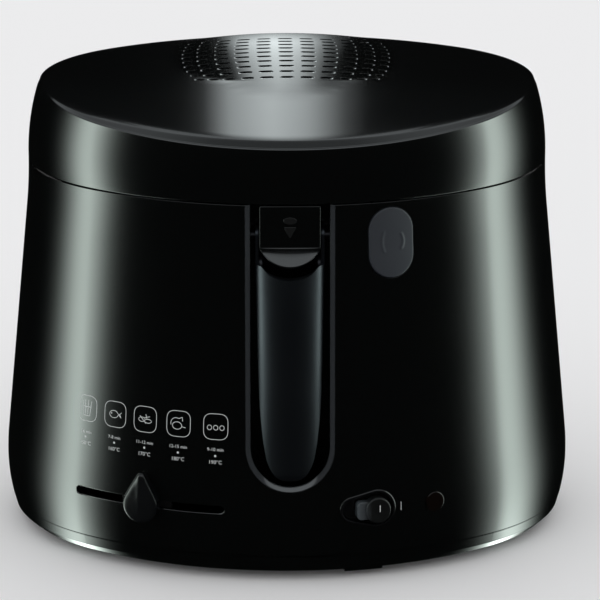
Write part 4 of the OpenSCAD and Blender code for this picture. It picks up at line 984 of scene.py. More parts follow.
# %% The lid's skin
field_out = np.stack([field_px, field_py, lid_height(field_px, field_py)], -1)
field_normal = height_normal(field_px, field_py)
edge_pull = np.stack([slope_x, slope_y, np.zeros_like(slope_x)], -1) * (field_gap == 0)[..., None]
field_soft = field_normal - 0.8 * edge_pull
field_soft /= np.linalg.norm(field_soft, axis=-1, keepdims=True)
field_in = field_out - [0, 0, LID_WALL]
field_top = (field_out.reshape(-1, 3), field_faces, field_soft.reshape(-1, 3))
field_under = (field_in.reshape(-1, 3), field_faces[:, [0, 2, 1, 1]], -field_normal.reshape(-1, 3))


def on_top(flat):
    """Points of the lid's top above places given by x and y."""
    return np.column_stack([flat, lid_height(*flat.T)])


def wall_between(edges, above, below):
    """Quads that join two copies of the same edges."""
    corners = np.stack([above[edges[:, 0]], above[edges[:, 1]], below[edges[:, 1]], below[edges[:, 0]]], 1)
    normal = np.cross(corners[:, 1] - corners[:, 0], corners[:, 3] - corners[:, 0])
    normal /= np.maximum(np.linalg.norm(normal, axis=1, keepdims=True), 1e-9)
    faces = np.arange(len(edges) * 4).reshape(-1, 4)
    return corners.reshape(-1, 3), faces[:, ::-1], -np.repeat(normal, 4, 0)


edges = border(field_faces[:, :3])
on_slot = (field_gap.ravel()[edges] == 0).all(1)
slot_walls = wall_between(edges[on_slot][:, ::-1], field_out.reshape(-1, 3), field_in.reshape(-1, 3))
print("slot wall faces", len(slot_walls[1]))

# %% [markdown]
# ### From the vents out to the rim
# Each point of the rectangle's border gets its own turn on the oval, by its bearing from the middle. Rings
# then run outwards over the crease and the rolled edge, down the side and back up inside.

# %% The rim, the side and the inside
loop = np.concatenate([
    np.stack([field_x, np.full_like(field_x, field_y[0])], -1)[:-1],
    np.stack([np.full_like(field_y, field_x[-1]), field_y], -1)[:-1],
    np.stack([field_x[::-1], np.full_like(field_x, field_y[-1])], -1)[:-1],
    np.stack([np.full_like(field_y, field_x[0]), field_y[::-1]], -1)[:-1]])
loop_centre = np.array([0.0, 20.0])
many_turns = np.linspace(-np.pi, np.pi, 6001)
rim_x, rim_y = plan(np.full_like(many_turns, 155.0), many_turns)
bearing = np.unwrap(np.arctan2(rim_x - loop_centre[0], loop_centre[1] - rim_y))
loop_bearing = np.arctan2(loop[:, 0] - loop_centre[0], loop_centre[1] - loop[:, 1])
loop_turn = np.interp(loop_bearing, bearing, many_turns)


def rim_ring(inset, drop):
    """The rim's contour for each loop column, inset and dropped. The height is found by repeating."""
    z = np.full(len(loop), RIM_Z)
    for _ in range(6):
        x, y = plan(lid_half(z) - inset, loop_turn)
        z = rim_height(y) - drop
    return np.stack([x, y, z], -1)


start = rim_ring(RIM_ROLL, 0.0)
rings = []
crease = np.maximum(SLOPE_START - start[:, 1], 0) * (RIM_SLOPE - INNER_SLOPE) / LIP_SLOPE
crease = np.maximum(crease - RIM_ROLL, 0.4)[:, None]
reach = start[:, :2] - loop
reach_length = np.linalg.norm(reach, axis=1, keepdims=True)
for share in np.linspace(0, 1, 12):
    inward = crease + 0.25 + (reach_length - crease - 0.25) * (1 - share)
    rings.append(on_top(start[:, :2] - reach / reach_length * inward))
for share in (0.0, 0.35, 0.7, 1.0):
    rings.append(on_top(start[:, :2] - reach / reach_length * (crease - 0.25) * (1 - share)))
top_normals = [height_normal(*ring[:, :2].T) for ring in rings]
top_edge = rings[-1][:, 2]
for angle in np.linspace(0, np.pi / 2, 8)[1:]:
    ring = rim_ring(RIM_ROLL * (1 - math.sin(angle)), 0.0)
    ring[:, 2] = top_edge - RIM_ROLL * (1 - math.cos(angle))
    rings.append(ring)
side_top = rings[-1][:, 2]
for share in np.linspace(0, 1, 13)[1:]:
    z = side_top + (LID_Z + 0.4 - side_top) * share
    rings.append(np.column_stack([*plan(lid_half(z), loop_turn), z]))
for inset, z in ((0.15, LID_Z + 0.1), (0.5, LID_Z), (LID_WALL, LID_Z)):
    rings.append(np.column_stack([*plan(np.full(len(loop), MOUTH_HALF - inset), loop_turn),
                                  np.full(len(loop), z)]))
for share in (0.05, 0.5, 1.0):
    z = LID_Z + (side_top - LID_WALL - 0.5 - LID_Z) * share
    rings.append(np.column_stack([*plan(lid_half(z) - LID_WALL, loop_turn), z]))
last = rings[-1]
for share in (0.1, 0.6, 1.0):
    rings.append(on_top(last[:, :2] + (loop - last[:, :2]) * share) - [0, 0, LID_WALL])
ring_grid = np.stack(rings, 1)
ring_normals = -grid_normals(ring_grid, wrap_u=True)
if ring_normals[:, 0, 2].mean() < 0:
    ring_normals = -ring_normals
ring_normals[:, :16] = np.stack(top_normals, 1)
lid_skirt = patch(ring_grid, wrap_u=True, flip=False, normals=ring_normals)
first = lid_skirt[1][0]
corner = lid_skirt[0][first]
if np.dot(np.cross(corner[1] - corner[0], corner[3] - corner[0]), lid_skirt[2][first[0]]) < 0:
    lid_skirt = (lid_skirt[0], lid_skirt[1][:, ::-1], lid_skirt[2])
print("lid rings", len(rings))

# %% [markdown]
# ### The lid's knuckles
# Two knuckles at the back of the lid turn on the pins, outside the housing's ears. They are blocks too, and
# they join the skin in one piece.

# %% The knuckles, and the lid as one piece
KNUCKLE_X, KNUCKLE_HALF = 47.3, 5
knuckle_outline = np.concatenate([
    np.array([[113.0, 239.0], [HINGE_Y, 236.8]]),
    np.stack([HINGE_Y + HINGE_R * np.cos(np.linspace(-1.3, 0.1, 10)),
              HINGE_Z + HINGE_R * np.sin(np.linspace(-1.3, 0.1, 10))], -1),
    np.array([[HINGE_Y + HINGE_R - 1, HINGE_Z + 9], [119.0, HINGE_Z + 21.5], [110.0, HINGE_Z + 21.5]])])
knuckles = []
for side in (-1, 1):
    knuckles += block(knuckle_outline, side * KNUCKLE_X - KNUCKLE_HALF, side * KNUCKLE_X + KNUCKLE_HALF,
                      along_x, 0.6)
make_piece("lid_shell", [field_top, field_under, slot_walls, lid_skirt, *knuckles], "lid",
           gloss_black.material, ["lid_cover"])

# %% [markdown]
# ## The handle
# The handle is a hollow grip: its section is one broad arc that meets straight sides in sharp edges. The
# section narrows down the length to a rounded tongue, and the top is scooped for the thumb. A subdivided
# block would soften the two long edges that catch the light, so each wall is its own grid, outer and inner,
# and strips close the open ends.

# %% The handle
handle_low, handle_high = (np.array(c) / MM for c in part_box("handle"))
print("handle spans", np.round(handle_high - handle_low, 1), "mm")
HANDLE_TOP, HANDLE_END, HANDLE_BACK = 201.0, 66.0, -110.5
HANDLE_WALL, GRIP_ARC, GRIP_PROUD, GRIP_LEAN = 2.0, 26.5, 6.2, math.radians(4.5)
WIDTH_Z = [66.0, 66.4, 67.5, 70, 73, 76, 80, 90, 104, 117, 140, 170, 201, 214]
WIDTH_HALF = [0.3, 3.2, 6.2, 9.4, 11.6, 13.2, 14.6, 16.4, 17.9, 18.8, 19.6, 20.2, 20.5, 20.5]
SCOOP_X = [0, 4, 8, 11, 13, 14.5, 15.7, 16.7, 17.6, 18.6, 20.5]
SCOOP_Z = [191.0, 191.3, 192.2, 193.3, 194.4, 195.6, 196.9, 198.1, 198.8, 199.1, 198.7]


def section(width, front, back, wall):
    """One section of the grip as (x, y): an arc across the front and straight sides to the back."""
    half = max(width - wall, 0.05)
    arc = np.linspace(-1, 1, 61) * math.asin(half / GRIP_ARC)
    y = np.minimum(front + wall + GRIP_ARC * (1 - np.cos(arc)), back)
    side = np.linspace(0.0, 1.0, 6)
    side_y = y[-1] + (back - y[-1]) * side
    return (np.concatenate([np.full(6, -half), GRIP_ARC * np.sin(arc), np.full(6, half)]),
            np.concatenate([side_y[::-1], y, side_y]))


def handle_front(z):
    """How far in front the grip's middle stands: a straight lean, set back round the tongue's end."""
    top_front = -(body_half(HANDLE_TOP) - FLAT) - GRIP_PROUD
    roll = 6.0
    below = np.clip(roll - (z - HANDLE_END), 0, roll)
    lean = math.tan(GRIP_LEAN) * (HANDLE_TOP - z)
    return float(top_front - lean + roll - math.sqrt(roll ** 2 - below ** 2))


def scoop_height(x):
    """Height of the grip's upper edge: a shallow scoop for the thumb between two rounded shoulders."""
    fine = np.linspace(0, 20.5, 83)
    level = np.interp(fine, SCOOP_X, SCOOP_Z)
    soft = np.convolve(np.pad(level, 4, "edge"), np.ones(9) / 9, "valid")
    return np.interp(np.abs(x), fine, soft)


share = np.linspace(0, 1, 64)
handle_levels = HANDLE_END + (HANDLE_TOP - HANDLE_END) * (1 - np.cos(share * np.pi / 2)) ** 0.9
outer_rows, inner_rows = [], []
for z in handle_levels:
    outer = section(np.interp(z, WIDTH_Z, WIDTH_HALF), handle_front(z), HANDLE_BACK, 0.0)
    deep = z > HANDLE_END + HANDLE_WALL
    inner = section(np.interp(z - HANDLE_WALL, WIDTH_Z, WIDTH_HALF) if deep else 2.05,
                    min(handle_front(z), HANDLE_BACK - 4), HANDLE_BACK, HANDLE_WALL)
    inner_y = inner[1] if deep else np.full_like(inner[1], HANDLE_BACK)
    outer_rows.append(np.stack([*outer, np.full_like(outer[0], z)], -1))
    inner_rows.append(np.stack([inner[0], inner_y, np.full_like(inner[0], z)], -1))


def scooped(rows):
    """Pulls the upper part of a wall down to the scoop, more the nearer it is to the top."""
    grid = np.stack(rows, 1)
    stretch = (grid[..., 2] - HANDLE_END) / (HANDLE_TOP - HANDLE_END)
    pull = np.clip((stretch - 0.55) / 0.45, 0, 1) ** 1.5
    grid[..., 2] += pull * (scoop_height(grid[..., 0]) - HANDLE_TOP)
    return grid


outer_grid, inner_grid = scooped(outer_rows), scooped(inner_rows)
arc_span, left_span, right_span = slice(6, 67), slice(0, 7), slice(66, 73)
handle_walls = [
    facing(outer_grid[arc_span], (30, 40), (0, -1, 0)), facing(outer_grid[left_span], (2, 40), (-1, 0, 0)),
    facing(outer_grid[right_span], (2, 40), (1, 0, 0)), facing(inner_grid[arc_span], (30, 40), (0, 1, 0)),
    facing(inner_grid[left_span], (2, 40), (1, 0, 0)), facing(inner_grid[right_span], (2, 40), (-1, 0, 0)),
    facing(np.stack([outer_grid[0], inner_grid[0]], 1), (30, 0), (0, 1, 0)),
    facing(np.stack([outer_grid[-1], inner_grid[-1]], 1), (30, 0), (0, 1, 0))]
top_outer, top_inner = outer_grid[:, -1], inner_grid[:, -1]
lip_mid = (top_outer + top_inner) / 2 + [0, 0, 0.35]
handle_walls.append(facing(np.stack([top_outer, lip_mid, top_inner], 1), (36, 1), (0, 0, 1)))
print("handle walls", len(handle_walls))

# %% [markdown]
# ### The thumb's cup
# Behind the scoop the thumb rests on a cup. It leads back from the scoop's edge and curls down inside the
# grip: straight rows first, then rows on a quarter circle, and a second copy below gives it thickness.

# %% The cup
cup_x = np.linspace(-15.6, 15.6, 53)
cup_front = handle_front(HANDLE_TOP) + HANDLE_WALL - 0.4 + GRIP_ARC - np.sqrt(GRIP_ARC ** 2 - cup_x ** 2)
CUP_BACK, CUP_ROLL = -124.0, 3.0
cup_deep = np.maximum(CUP_BACK - CUP_ROLL, cup_front + 0.2) - cup_front
cup_rows = [np.stack([cup_x, cup_front + cup_deep * part, scoop_height(cup_x) - 0.2], -1)
            for part in (0, 0.33, 0.66, 1.0)]
for angle in np.linspace(0, np.pi / 2, 7)[1:]:
    cup_rows.append(cup_rows[3] + [0, CUP_ROLL * math.sin(angle), -CUP_ROLL * (1 - math.cos(angle))])
cup_rows.append(cup_rows[-1] - [0, 0, 14.0])
cup_grid = np.stack(cup_rows, 1)
under_grid = cup_grid - [0, 0.9, 0.9]
handle_walls += [facing(cup_grid, (26, 2), (0, 0, 1)), facing(under_grid, (26, 2), (0, 0, -1))]
cup_loop = [np.concatenate([g[0], g[1:, -1], g[-1, -2::-1], g[-2:0:-1, 0]]) for g in (cup_grid, under_grid)]
handle_walls.append(patch(np.stack(cup_loop, 1), wrap_u=True))
print("cup rows", len(cup_rows))

# %% [markdown]
# ### The cheeks
# Two thin cheeks carry the pivot, and a stud on each drives a lift link when the handle folds out.

# %% The cheeks, and the handle as one piece
PIVOT_Y, PIVOT_Z, CRANK_R, CRANK_TURN = -114.7, 214.0, 16.0, math.radians(20.6)
cheek_outline = np.concatenate([
    np.stack([PIVOT_Y + 6.5 * np.cos(np.linspace(0, np.pi, 14)),
              PIVOT_Z + 6.5 * np.sin(np.linspace(0, np.pi, 14))], -1),
    np.array([[-124.0, 200.0], [-124.0, 187.0], [HANDLE_BACK, 187.0], [HANDLE_BACK, 198.0]])])
cheeks = []
for side in (-1, 1):
    cheeks += block(cheek_outline, side * 19.9 - 1.1, side * 19.9 + 1.1, along_x, 0.3)
    stud_angle = np.linspace(0, 2 * np.pi, 20, endpoint=False)
    stud = np.stack([PIVOT_Y - CRANK_R * math.sin(CRANK_TURN) + 1.4 * np.cos(stud_angle),
                     PIVOT_Z - CRANK_R * math.cos(CRANK_TURN) + 1.4 * np.sin(stud_angle)], -1)
    cheeks += block(stud, side * 17.9 - 1.4, side * 17.9 + 1.4, along_x, 0.2)
make_piece("handle_grip", [*handle_walls, *cheeks], "handle",
           handle_black.material, ["handle"])

# %% [markdown]
# ## The release slide
# Above the handle, in the same recess, a small plate slides down to free the handle. It has a ledge for
# the thumb and two raised marks: a dot and an arrow that points down.

# %% The release slide
_, release_high = (np.array(c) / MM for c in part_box("release_slide"))
PLATE_FRONT, PLATE_BACK = -126.9, -124.2
PLATE_HALF = 18.3
PLATE_TOP, SHELF_Z, SHELF_FRONT, LEDGE_ARC = release_high[2], 212.0, -132.9, 21.8


def facing_front(u, v, height):
    """Places an outline in the XZ plane, raised towards the viewer."""
    return np.stack(np.broadcast_arrays(u, -height, v), -1)


plate = np.array([[-PLATE_HALF, SHELF_Z - 3], [PLATE_HALF, SHELF_Z - 3], [PLATE_HALF, PLATE_TOP],
                  [-PLATE_HALF, PLATE_TOP]])
plate = rounded_outline(plate, 1.2)
release = block(plate, -PLATE_BACK, -PLATE_FRONT, facing_front, 0.3)
angle = np.linspace(0, 2 * np.pi, 32, endpoint=False)
dot = np.stack([4.1 * np.cos(angle), 226.6 + 2.2 * np.sin(angle)], -1)
arrow = rounded_outline(np.array([[-3.9, 222.8], [3.9, 222.8], [0.0, 215.6]]), 1.0)
marks = block(dot, -PLATE_FRONT - 0.2, -PLATE_FRONT + 0.4, facing_front, 0.3)
marks += block(arrow, -PLATE_FRONT - 0.2, -PLATE_FRONT + 0.4, facing_front, 0.3)
make_piece("release_marks", marks, "release", mark_grey.material)

# %% [markdown]
# ### The ledge
# The thumb presses on a ledge that slopes out from the plate to a lip, and the lip follows an arc. It
# leaves the plate gently and slopes out more with each row, so the light on it grows towards the lip.

# %% The ledge, and the slide as one piece
ledge_x = PLATE_HALF * np.sin(np.linspace(-np.pi / 2, np.pi / 2, 41))
lip_z = SHELF_Z - 13.2 + LEDGE_ARC - np.sqrt(LEDGE_ARC ** 2 - ledge_x ** 2)
deep = (lip_z.max() - lip_z) / (lip_z.max() - lip_z.min())
proud = SHELF_FRONT - PLATE_FRONT


def ledge_row(y, z):
    """One row of the ledge: x runs across the plate, and y and z are numbers or follow x."""
    return np.stack(np.broadcast_arrays(ledge_x, y, z), -1)


ledge_rows = [ledge_row(PLATE_FRONT + 0.5, SHELF_Z - 1.5), ledge_row(PLATE_FRONT, SHELF_Z - 2.2)]
for part in np.linspace(0.1, 0.94, 10):
    swell = part * (0.7 + 0.3 * part)
    ledge_rows.append(ledge_row(PLATE_FRONT + proud * swell * deep,
                                SHELF_Z - 2.2 + (lip_z - SHELF_Z + 2.2) * part))
for fall, back in ((0.4, 0.1), (1.0, 0.5), (1.3, 1.2), (1.3, 5.0)):
    lip_y = np.minimum(PLATE_FRONT + proud * deep * 0.97 + back, PLATE_BACK)
    ledge_rows.append(ledge_row(lip_y, lip_z + 0.5 - fall))
ledge_rows += [ledge_row(PLATE_BACK, lip_z - 0.4), ledge_row(PLATE_BACK, SHELF_Z - 1.5)]
release.append(facing(np.stack(ledge_rows, 1), (20, 6), (0, -1, 0), wrap_v=True))
key = np.array([[-4.0, 219.0], [4.0, 219.0], [4.0, 228.7], [-4.0, 228.7]])
release += block(key, 117.4, -PLATE_BACK, facing_front, 0.3)
make_piece("release_plate", release, "release", gloss_black.material,
           ["release_slide"])

# %% [markdown]
# ## The lid button
# The button is an upright bar with round ends. Its face follows the wall and is gently pillowed, with two
# raised marks for the finger. The face's depth is a formula of the distance to the button's own edge.

# %% Pieces on the front wall


def on_wall(turn, z_middle, u, v, out):
    """A place at (u, v) on the wall about a middle point, proud of it by out."""
    z = z_middle + v
    return wall_point(turn + u / front_radius(z), z, out)


def raised(turn, z_middle, distance, reach, count, rows, height, centre=(0.0, 0.0)):
    """A surface over the inside of an outline. rows is (inset from the edge, height); height refines it."""
    grid = []
    for inset, level in rows:
        u, v = ring_path(distance, reach, count, centre, -inset)
        grid.append(on_wall(turn, z_middle, u, v, level + height(u, v)))
    edge_u, edge_v = ring_path(distance, reach, count, centre, -rows[-1][0])
    for part in np.linspace(0.9, 0.0, 12):
        u = centre[0] + (edge_u - centre[0]) * max(part, 0.002)
        v = centre[1] + (edge_v - centre[1]) * max(part, 0.002)
        grid.append(on_wall(turn, z_middle, u, v, rows[-1][1] + height(u, v)))
    outward = wall_point(turn, z_middle, 1.0) - wall_point(turn, z_middle, 0.0)
    return facing(np.stack(grid, 1), (0, -3), outward, wrap_u=True)


def rolled_rows(inset, start, rise, count):
    """Rows over a rolled edge: inset * (1 - cos a) inwards and start + rise * sin a up, a quarter turn."""
    turns = np.linspace(0, np.pi / 2, count)
    return [(inset * (1 - math.cos(a)), start + rise * math.sin(a)) for a in turns]


def mark(u, v, centre, size, bow, width, rise):
    """A raised curved line: a smooth hump across its width, fading at both ends."""
    along = np.clip(np.abs(v - centre[1]) / size, 0, 1)
    across = u - centre[0] - bow * (1 - along ** 2)
    return rise * np.exp(-(across / width) ** 2) * np.clip((1 - along ** 4) * 3, 0, 1) * (along < 1)


def button_edge(u, v):
    """The button's own outline: its opening less a small gap."""
    return capsule(u, v, 0, BUTTON_REACH, BUTTON_CAP)


def button_face(u, v):
    """Height of the face: a parabola of the distance to the edge, with the two raised marks."""
    inward = -button_edge(u, v)
    pillow = 0.7 * (1 - (1 - np.clip(inward / 14.0, 0, 1)) ** 2)
    marks = mark(u, v, (-4.6, 0.6), 6.8, -1.6, 0.9, 0.35) + mark(u, v, (5.6, 0.6), 5.2, 1.6, 0.9, 0.35)
    return np.where(inward > 1.5, pillow + marks, pillow)


button_rows = [(0.25, -7.6), (0.0, -7.3), (0.0, -0.1), *rolled_rows(0.9, 0.15, 0.85, 7)]
button_rows += [(inset, 1.0) for inset in np.linspace(1.3, 13.2, 34)]
button = raised(BUTTON_TURN, BUTTON_Z, button_edge, 30, 128, button_rows, button_face)
make_piece("lid_button_cap", [button], "button", button_grey.material, ["lid_button"])

# %% [markdown]
# ## The slider knob
# The temperature knob is a teardrop with its point up, like a hand on a scale. It could be carved from a
# block, but the distance to its outline already gives every row: inwards from the edge, and up.

# %% The temperature knob
KNOB_MIDDLE = (0.0, 0.8)


def flat_face(u, v):
    """No relief at all."""
    return 0 * u


def tear_distance(u, v):
    """Teardrop: the pear with its axis upright and its point above."""
    return pear(v, u, 17.0, 2.8, 0.0, 11.3)


def tear_height(u, v):
    """A faint ridge down the middle: a Gauss curve across, fading below and towards the edge."""
    ridge = 0.25 * np.exp(-(u / 1.8) ** 2) * np.clip((v + 8) / 10, 0, 1)
    return ridge * np.clip(-tear_distance(u, v) / 2.0, 0, 1)


def stem_outline(u, v):
    """The knob's stem fits the height of its slot."""
    return capsule(u, v, 2.0, 0, 2.2)


knob_rows = [(0.3, 0.7), (0.0, 1.0), (0.0, 4.6), *rolled_rows(2.6, 4.9, 2.8, 9)]
knob_rows += [(inset, 7.7 + 0.05 * inset) for inset in (3.2, 4.4, 6.0, 8.0)]
knob = raised(DIAL_TURN, CONTROL_Z, tear_distance, 30, 120, knob_rows, tear_height, KNOB_MIDDLE)
under = raised(DIAL_TURN, CONTROL_Z, tear_distance, 30, 120, knob_rows[:1], flat_face, KNOB_MIDDLE)
under = (under[0], under[1][:, ::-1], -under[2])
stem = raised(DIAL_TURN, CONTROL_Z, stem_outline, 10, 32, [(0, -3.8), (0, 1.5)], flat_face)
make_piece("slider_knob", [knob, under, stem], "temperature", knob_black.material,
           ["temperature_knob"])

# %% [markdown]
# ## The switch
# A round pad with a thumb tab slides in a pear-shaped well with a thin raised rim. The rim is one profile
# carried round the outline, row by row; pad and tab are raised outlines with rolled edges.

# %% The switch's bezel
BEZEL_PROFILE = ((-1.9, -1.5), (-1.9, 0.3), (-1.75, 0.75), (-1.4, 1.0), (-0.9, 1.05), (-0.35, 0.85),
                 (-0.05, 0.45), (0.0, 0.02), (-0.6, -0.4))
bezel_rows = []
for grow, level in BEZEL_PROFILE:
    u, v = ring_path(switch_distance, 40, 120, grow=grow)
    bezel_rows.append(on_wall(SWITCH_TURN, CONTROL_Z, u, v, level))
bezel = facing(np.stack(bezel_rows, 1), (0, 4), (0, -1, 0), wrap_u=True)
well = raised(SWITCH_TURN, CONTROL_Z, switch_distance, 40, 120, [(1.9, 0.2), (1.9, -3.6)], flat_face)
make_piece("bezel_ring", [bezel, well], "base", bezel_black.material, ["switch_bezel"])

# %% [markdown]
# The pad and its tab stand on a stem that passes through the well to the switch behind it.

# %% The switch's pad
PAD_U, PAD_R, TAB_U, STEM_U = 5.4, 7.9, -3.2, 3.0


def pad_distance(u, v):
    """The round pad."""
    return np.hypot(u - PAD_U, v) - PAD_R


def tab_distance(u, v):
    """The thumb tab: an upright bar beside the pad."""
    return capsule(u - TAB_U, v, 1.6, 3.0, 2.6)


def pad_stem(u, v):
    """The bar below pad and tab."""
    return capsule(u - STEM_U, v, 3.0, 0, 5.0)


pad_rows = [(0.0, -2.0), (0.0, 4.2), *rolled_rows(1.2, 4.4, 1.2, 6)]
pad_rows += [(inset, 5.6 - 0.12 * (inset - 1.2)) for inset in (1.8, 3.0, 5.0)]
tab_rows = [(0.0, -2.0), (0.0, 3.2), *rolled_rows(1.0, 3.4, 1.0, 6), (1.4, 4.4), (2.0, 4.4)]
stem_rows = [(0.0, -5.0), (0.0, -2.0)]
pad = raised(SWITCH_TURN, CONTROL_Z, pad_distance, 12, 72, pad_rows, flat_face, (PAD_U, 0.0))
tab = raised(SWITCH_TURN, CONTROL_Z, tab_distance, 12, 72, tab_rows, flat_face, (TAB_U, 0.0))
knob_base = raised(SWITCH_TURN, CONTROL_Z, pad_stem, 14, 48, stem_rows, flat_face, (STEM_U, 0.0))
make_piece("switch_pad", [pad, tab, knob_base], "switch", pad_black.material, ["switch_knob"])

# %% [markdown]
# ## The lamp
# The lamp's lens is a small dome. It glows only in use; unlit it is almost as dark as the wall.

# %% The lamp's lens


def lens_distance(u, v):
    """The lens: its opening less a small gap."""
    return np.hypot(u, v) - LAMP_LENS


lamp_rows = [(0.0, -4.0), (0.0, 0.25), *rolled_rows(0.7, 0.3, 0.7, 7)]
lamp_rows += [(inset, 1.0 + 0.02 * inset) for inset in (1.5, 3.0)]
lamp = raised(LAMP_TURN, CONTROL_Z, lens_distance, 10, 64, lamp_rows, flat_face)
make_piece("lamp_lens", [lamp], "base", lens_amber.material, ["indicator_lens"])

# %% [markdown]
# ## Print on the wall
# A guide for the cook is printed above the slider: small pictures of food in rounded frames, a row of
# dots, and plain numbers for minutes and degrees. Each line is a thin ribbon laid on the wall's curve.

# %% Ribbons
PRINT_LIFT = 0.06


def ribbon(turn, z_middle, path, width, closed=False, out=PRINT_LIFT):
    """A flat line of one width along a path of (u, v) on the wall."""
    path = np.asarray(path, float)
    if closed:
        tangent = np.roll(path, -1, 0) - np.roll(path, 1, 0)
    else:
        tangent = np.gradient(path, axis=0)
    tangent /= np.maximum(np.linalg.norm(tangent, axis=1, keepdims=True), 1e-9)
    side = np.stack([-tangent[:, 1], tangent[:, 0]], -1) * width / 2
    rows = [on_wall(turn, z_middle, *(path + side * k).T, out - sink)
            for k, sink in ((-1, 0.05), (-0.9, 0.0), (0.9, 0.0), (1, 0.05))]
    grid = np.stack(rows, 1)
    strip = patch(grid, wrap_u=closed)
    outward = wall_point(turn, z_middle, 1.0) - wall_point(turn, z_middle, 0.0)
    if np.dot(strip[2].mean(0), outward) < 0:
        strip = patch(grid, wrap_u=closed, flip=True)
    return strip


def arc_path(cx, cy, rx, ry, start, stop, count=24):
    """Points on an ellipse from one angle to another, in degrees."""
    angle = np.radians(np.linspace(start, stop, count))
    return np.stack([cx + rx * np.cos(angle), cy + ry * np.sin(angle)], -1)


def line_path(*points, count=6):
    """Points spaced evenly along the straight lines between corners."""
    points = np.array(points, float)
    share = np.linspace(0, len(points) - 1, (len(points) - 1) * count + 1)
    return np.stack([np.interp(share, np.arange(len(points)), points[:, k]) for k in (0, 1)], -1)

# %% [markdown]
# ### The pictures
# Each picture is a list of (path, closed): chips, fish, shellfish, chicken and three rings. An image could
# carry them, but ribbons stay sharp at any distance and need no unwrapping.

# %% The pictures and the dots
PICTURES = [
    [(line_path((-3.6, 4.8), (-2.4, -4.6), (2.4, -4.6), (3.6, 4.8)), False),
     (line_path((-1.2, 5.4), (-0.8, -3.6)), False), (line_path((1.2, 5.4), (0.8, -3.6)), False),
     (line_path((-3.2, 1.0), (3.2, 1.0)), False)],
    [(arc_path(-1.0, 0.0, 3.0, 2.3, 20, 340), False),
     (line_path((1.8, 0.8), (4.4, -1.9), (3.2, 0.2), (4.6, 1.6), (1.8, -0.8)), False),
     (arc_path(-2.6, 0.5, 0.3, 0.3, 0, 345, 8), True)],
    [(arc_path(-2.2, -0.2, 2.2, 1.4, 0, 345), True), (arc_path(1.9, -1.0, 2.4, 1.2, 0, 345), True),
     (line_path((-3.6, 2.0), (0.6, -2.6)), False), (line_path((-0.4, 1.0), (3.2, 2.0)), False),
     (line_path((0.4, 3.2), (1.2, 0.2)), False)],
    [(arc_path(-0.9, -1.2, 3.0, 2.3, 0, 345), True), (arc_path(-1.6, 0.2, 3.4, 3.4, 60, 200), False),
     (line_path((0.2, 3.2), (2.4, 4.2), (2.6, 1.6)), False), (line_path((1.8, -1.6), (4.6, -2.2)), False)],
    [(arc_path(-3.9, -0.6, 1.4, 1.5, 0, 345, 16), True), (arc_path(0, -0.6, 1.4, 1.5, 0, 345, 16), True),
     (arc_path(3.9, -0.6, 1.4, 1.5, 0, 345, 16), True)],
]
ICON_TURNS = [math.radians(a) for a in (-36.3, -30.5, -24.8, -18.8, -12.4)]
ICON_Z = (99.6, 99.3, 99.2, 99.0, 99.0)
DOT_Z = (81.6, 81.4, 81.4, 81.0, 80.8)
FRAME_LINE, PICTURE_LINE = 0.34, 0.36
frame_path = rounded_outline(np.array([[-7.6, -8.0], [7.6, -8.0], [7.6, 8.0], [-7.6, 8.0]]), 5.4, 10)
frame_dense = np.concatenate([line_path(a, b, count=8)[:-1] for a, b in
                              zip(frame_path, np.roll(frame_path, -1, 0))])
prints = []
for turn, z, picture in zip(ICON_TURNS, ICON_Z, PICTURES):
    prints.append(ribbon(turn, z, frame_dense, FRAME_LINE, closed=True))
    for path, closed in picture:
        prints.append(ribbon(turn, z, path, PICTURE_LINE, closed=closed))
for turn, z in zip(ICON_TURNS, DOT_Z):
    prints.append(ribbon(turn, z, arc_path(0, 0, 0.35, 0.35, 0, 345, 12), 0.72, closed=True))
prints.append(ribbon(SWITCH_TURN, CONTROL_Z, line_path((21.4, -2.8), (21.4, 2.8)), 0.34))
prints.append(ribbon(SWITCH_TURN, CONTROL_Z, line_path((6.2, -0.6), (6.2, 3.4)), 0.5, out=5.75))

print("ribbons", len(prints))

# %% [markdown]
# ### The numbers
# Blender's text objects are flat. Each one is made a mesh first, and then its points are laid on the wall.

# %% Letters and numbers


def wall_text(words, turn, z_middle, size):
    """Letters as a mesh, bent onto the wall: the text's x runs along the wall and its y up it."""
    curve = bpy.data.curves.new("text", "FONT")
    curve.body, curve.size, curve.align_x, curve.align_y = words, size, "CENTER", "CENTER"
    curve.resolution_u = 3
    holder = bpy.data.objects.new("text", curve)
    mesh = bpy.data.meshes.new_from_object(holder)
    flat = np.empty(len(mesh.vertices) * 3)
    mesh.vertices.foreach_get("co", flat)
    flat = flat.reshape(-1, 3)
    faces = np.array([[*p.vertices, p.vertices[2]] for p in mesh.polygons if len(p.vertices) == 3])
    points = on_wall(turn, z_middle, flat[:, 0], flat[:, 1], PRINT_LIFT)
    normals = on_wall(turn, z_middle, flat[:, 0], flat[:, 1], PRINT_LIFT + 1.0) - points
    corner = points[faces[:, :3]]
    turned = np.cross(corner[:, 1] - corner[:, 0], corner[:, 2] - corner[:, 0])
    wrong = (turned * normals[faces[:, 0]]).sum(1) < 0
    faces[wrong] = faces[wrong][:, [0, 2, 1, 1]]
    bpy.data.objects.remove(holder)
    bpy.data.meshes.remove(mesh)
    bpy.data.curves.remove(curve)
    return points, faces, normals


MINUTES, DEGREES = ("5-6", "7-8", "11-12", "12-15", "9-10"), (150, 160, 170, 180, 190)
for turn, z, minutes, degrees in zip(ICON_TURNS, DOT_Z, MINUTES, DEGREES):
    prints.append(wall_text(f"{minutes} min", turn, 84.7, 2.9))
    prints.append(wall_text(f"{degrees}\u00b0C", turn, z - 4.0, 3.3))
make_piece("front_print", prints, "base", ink_grey.material)

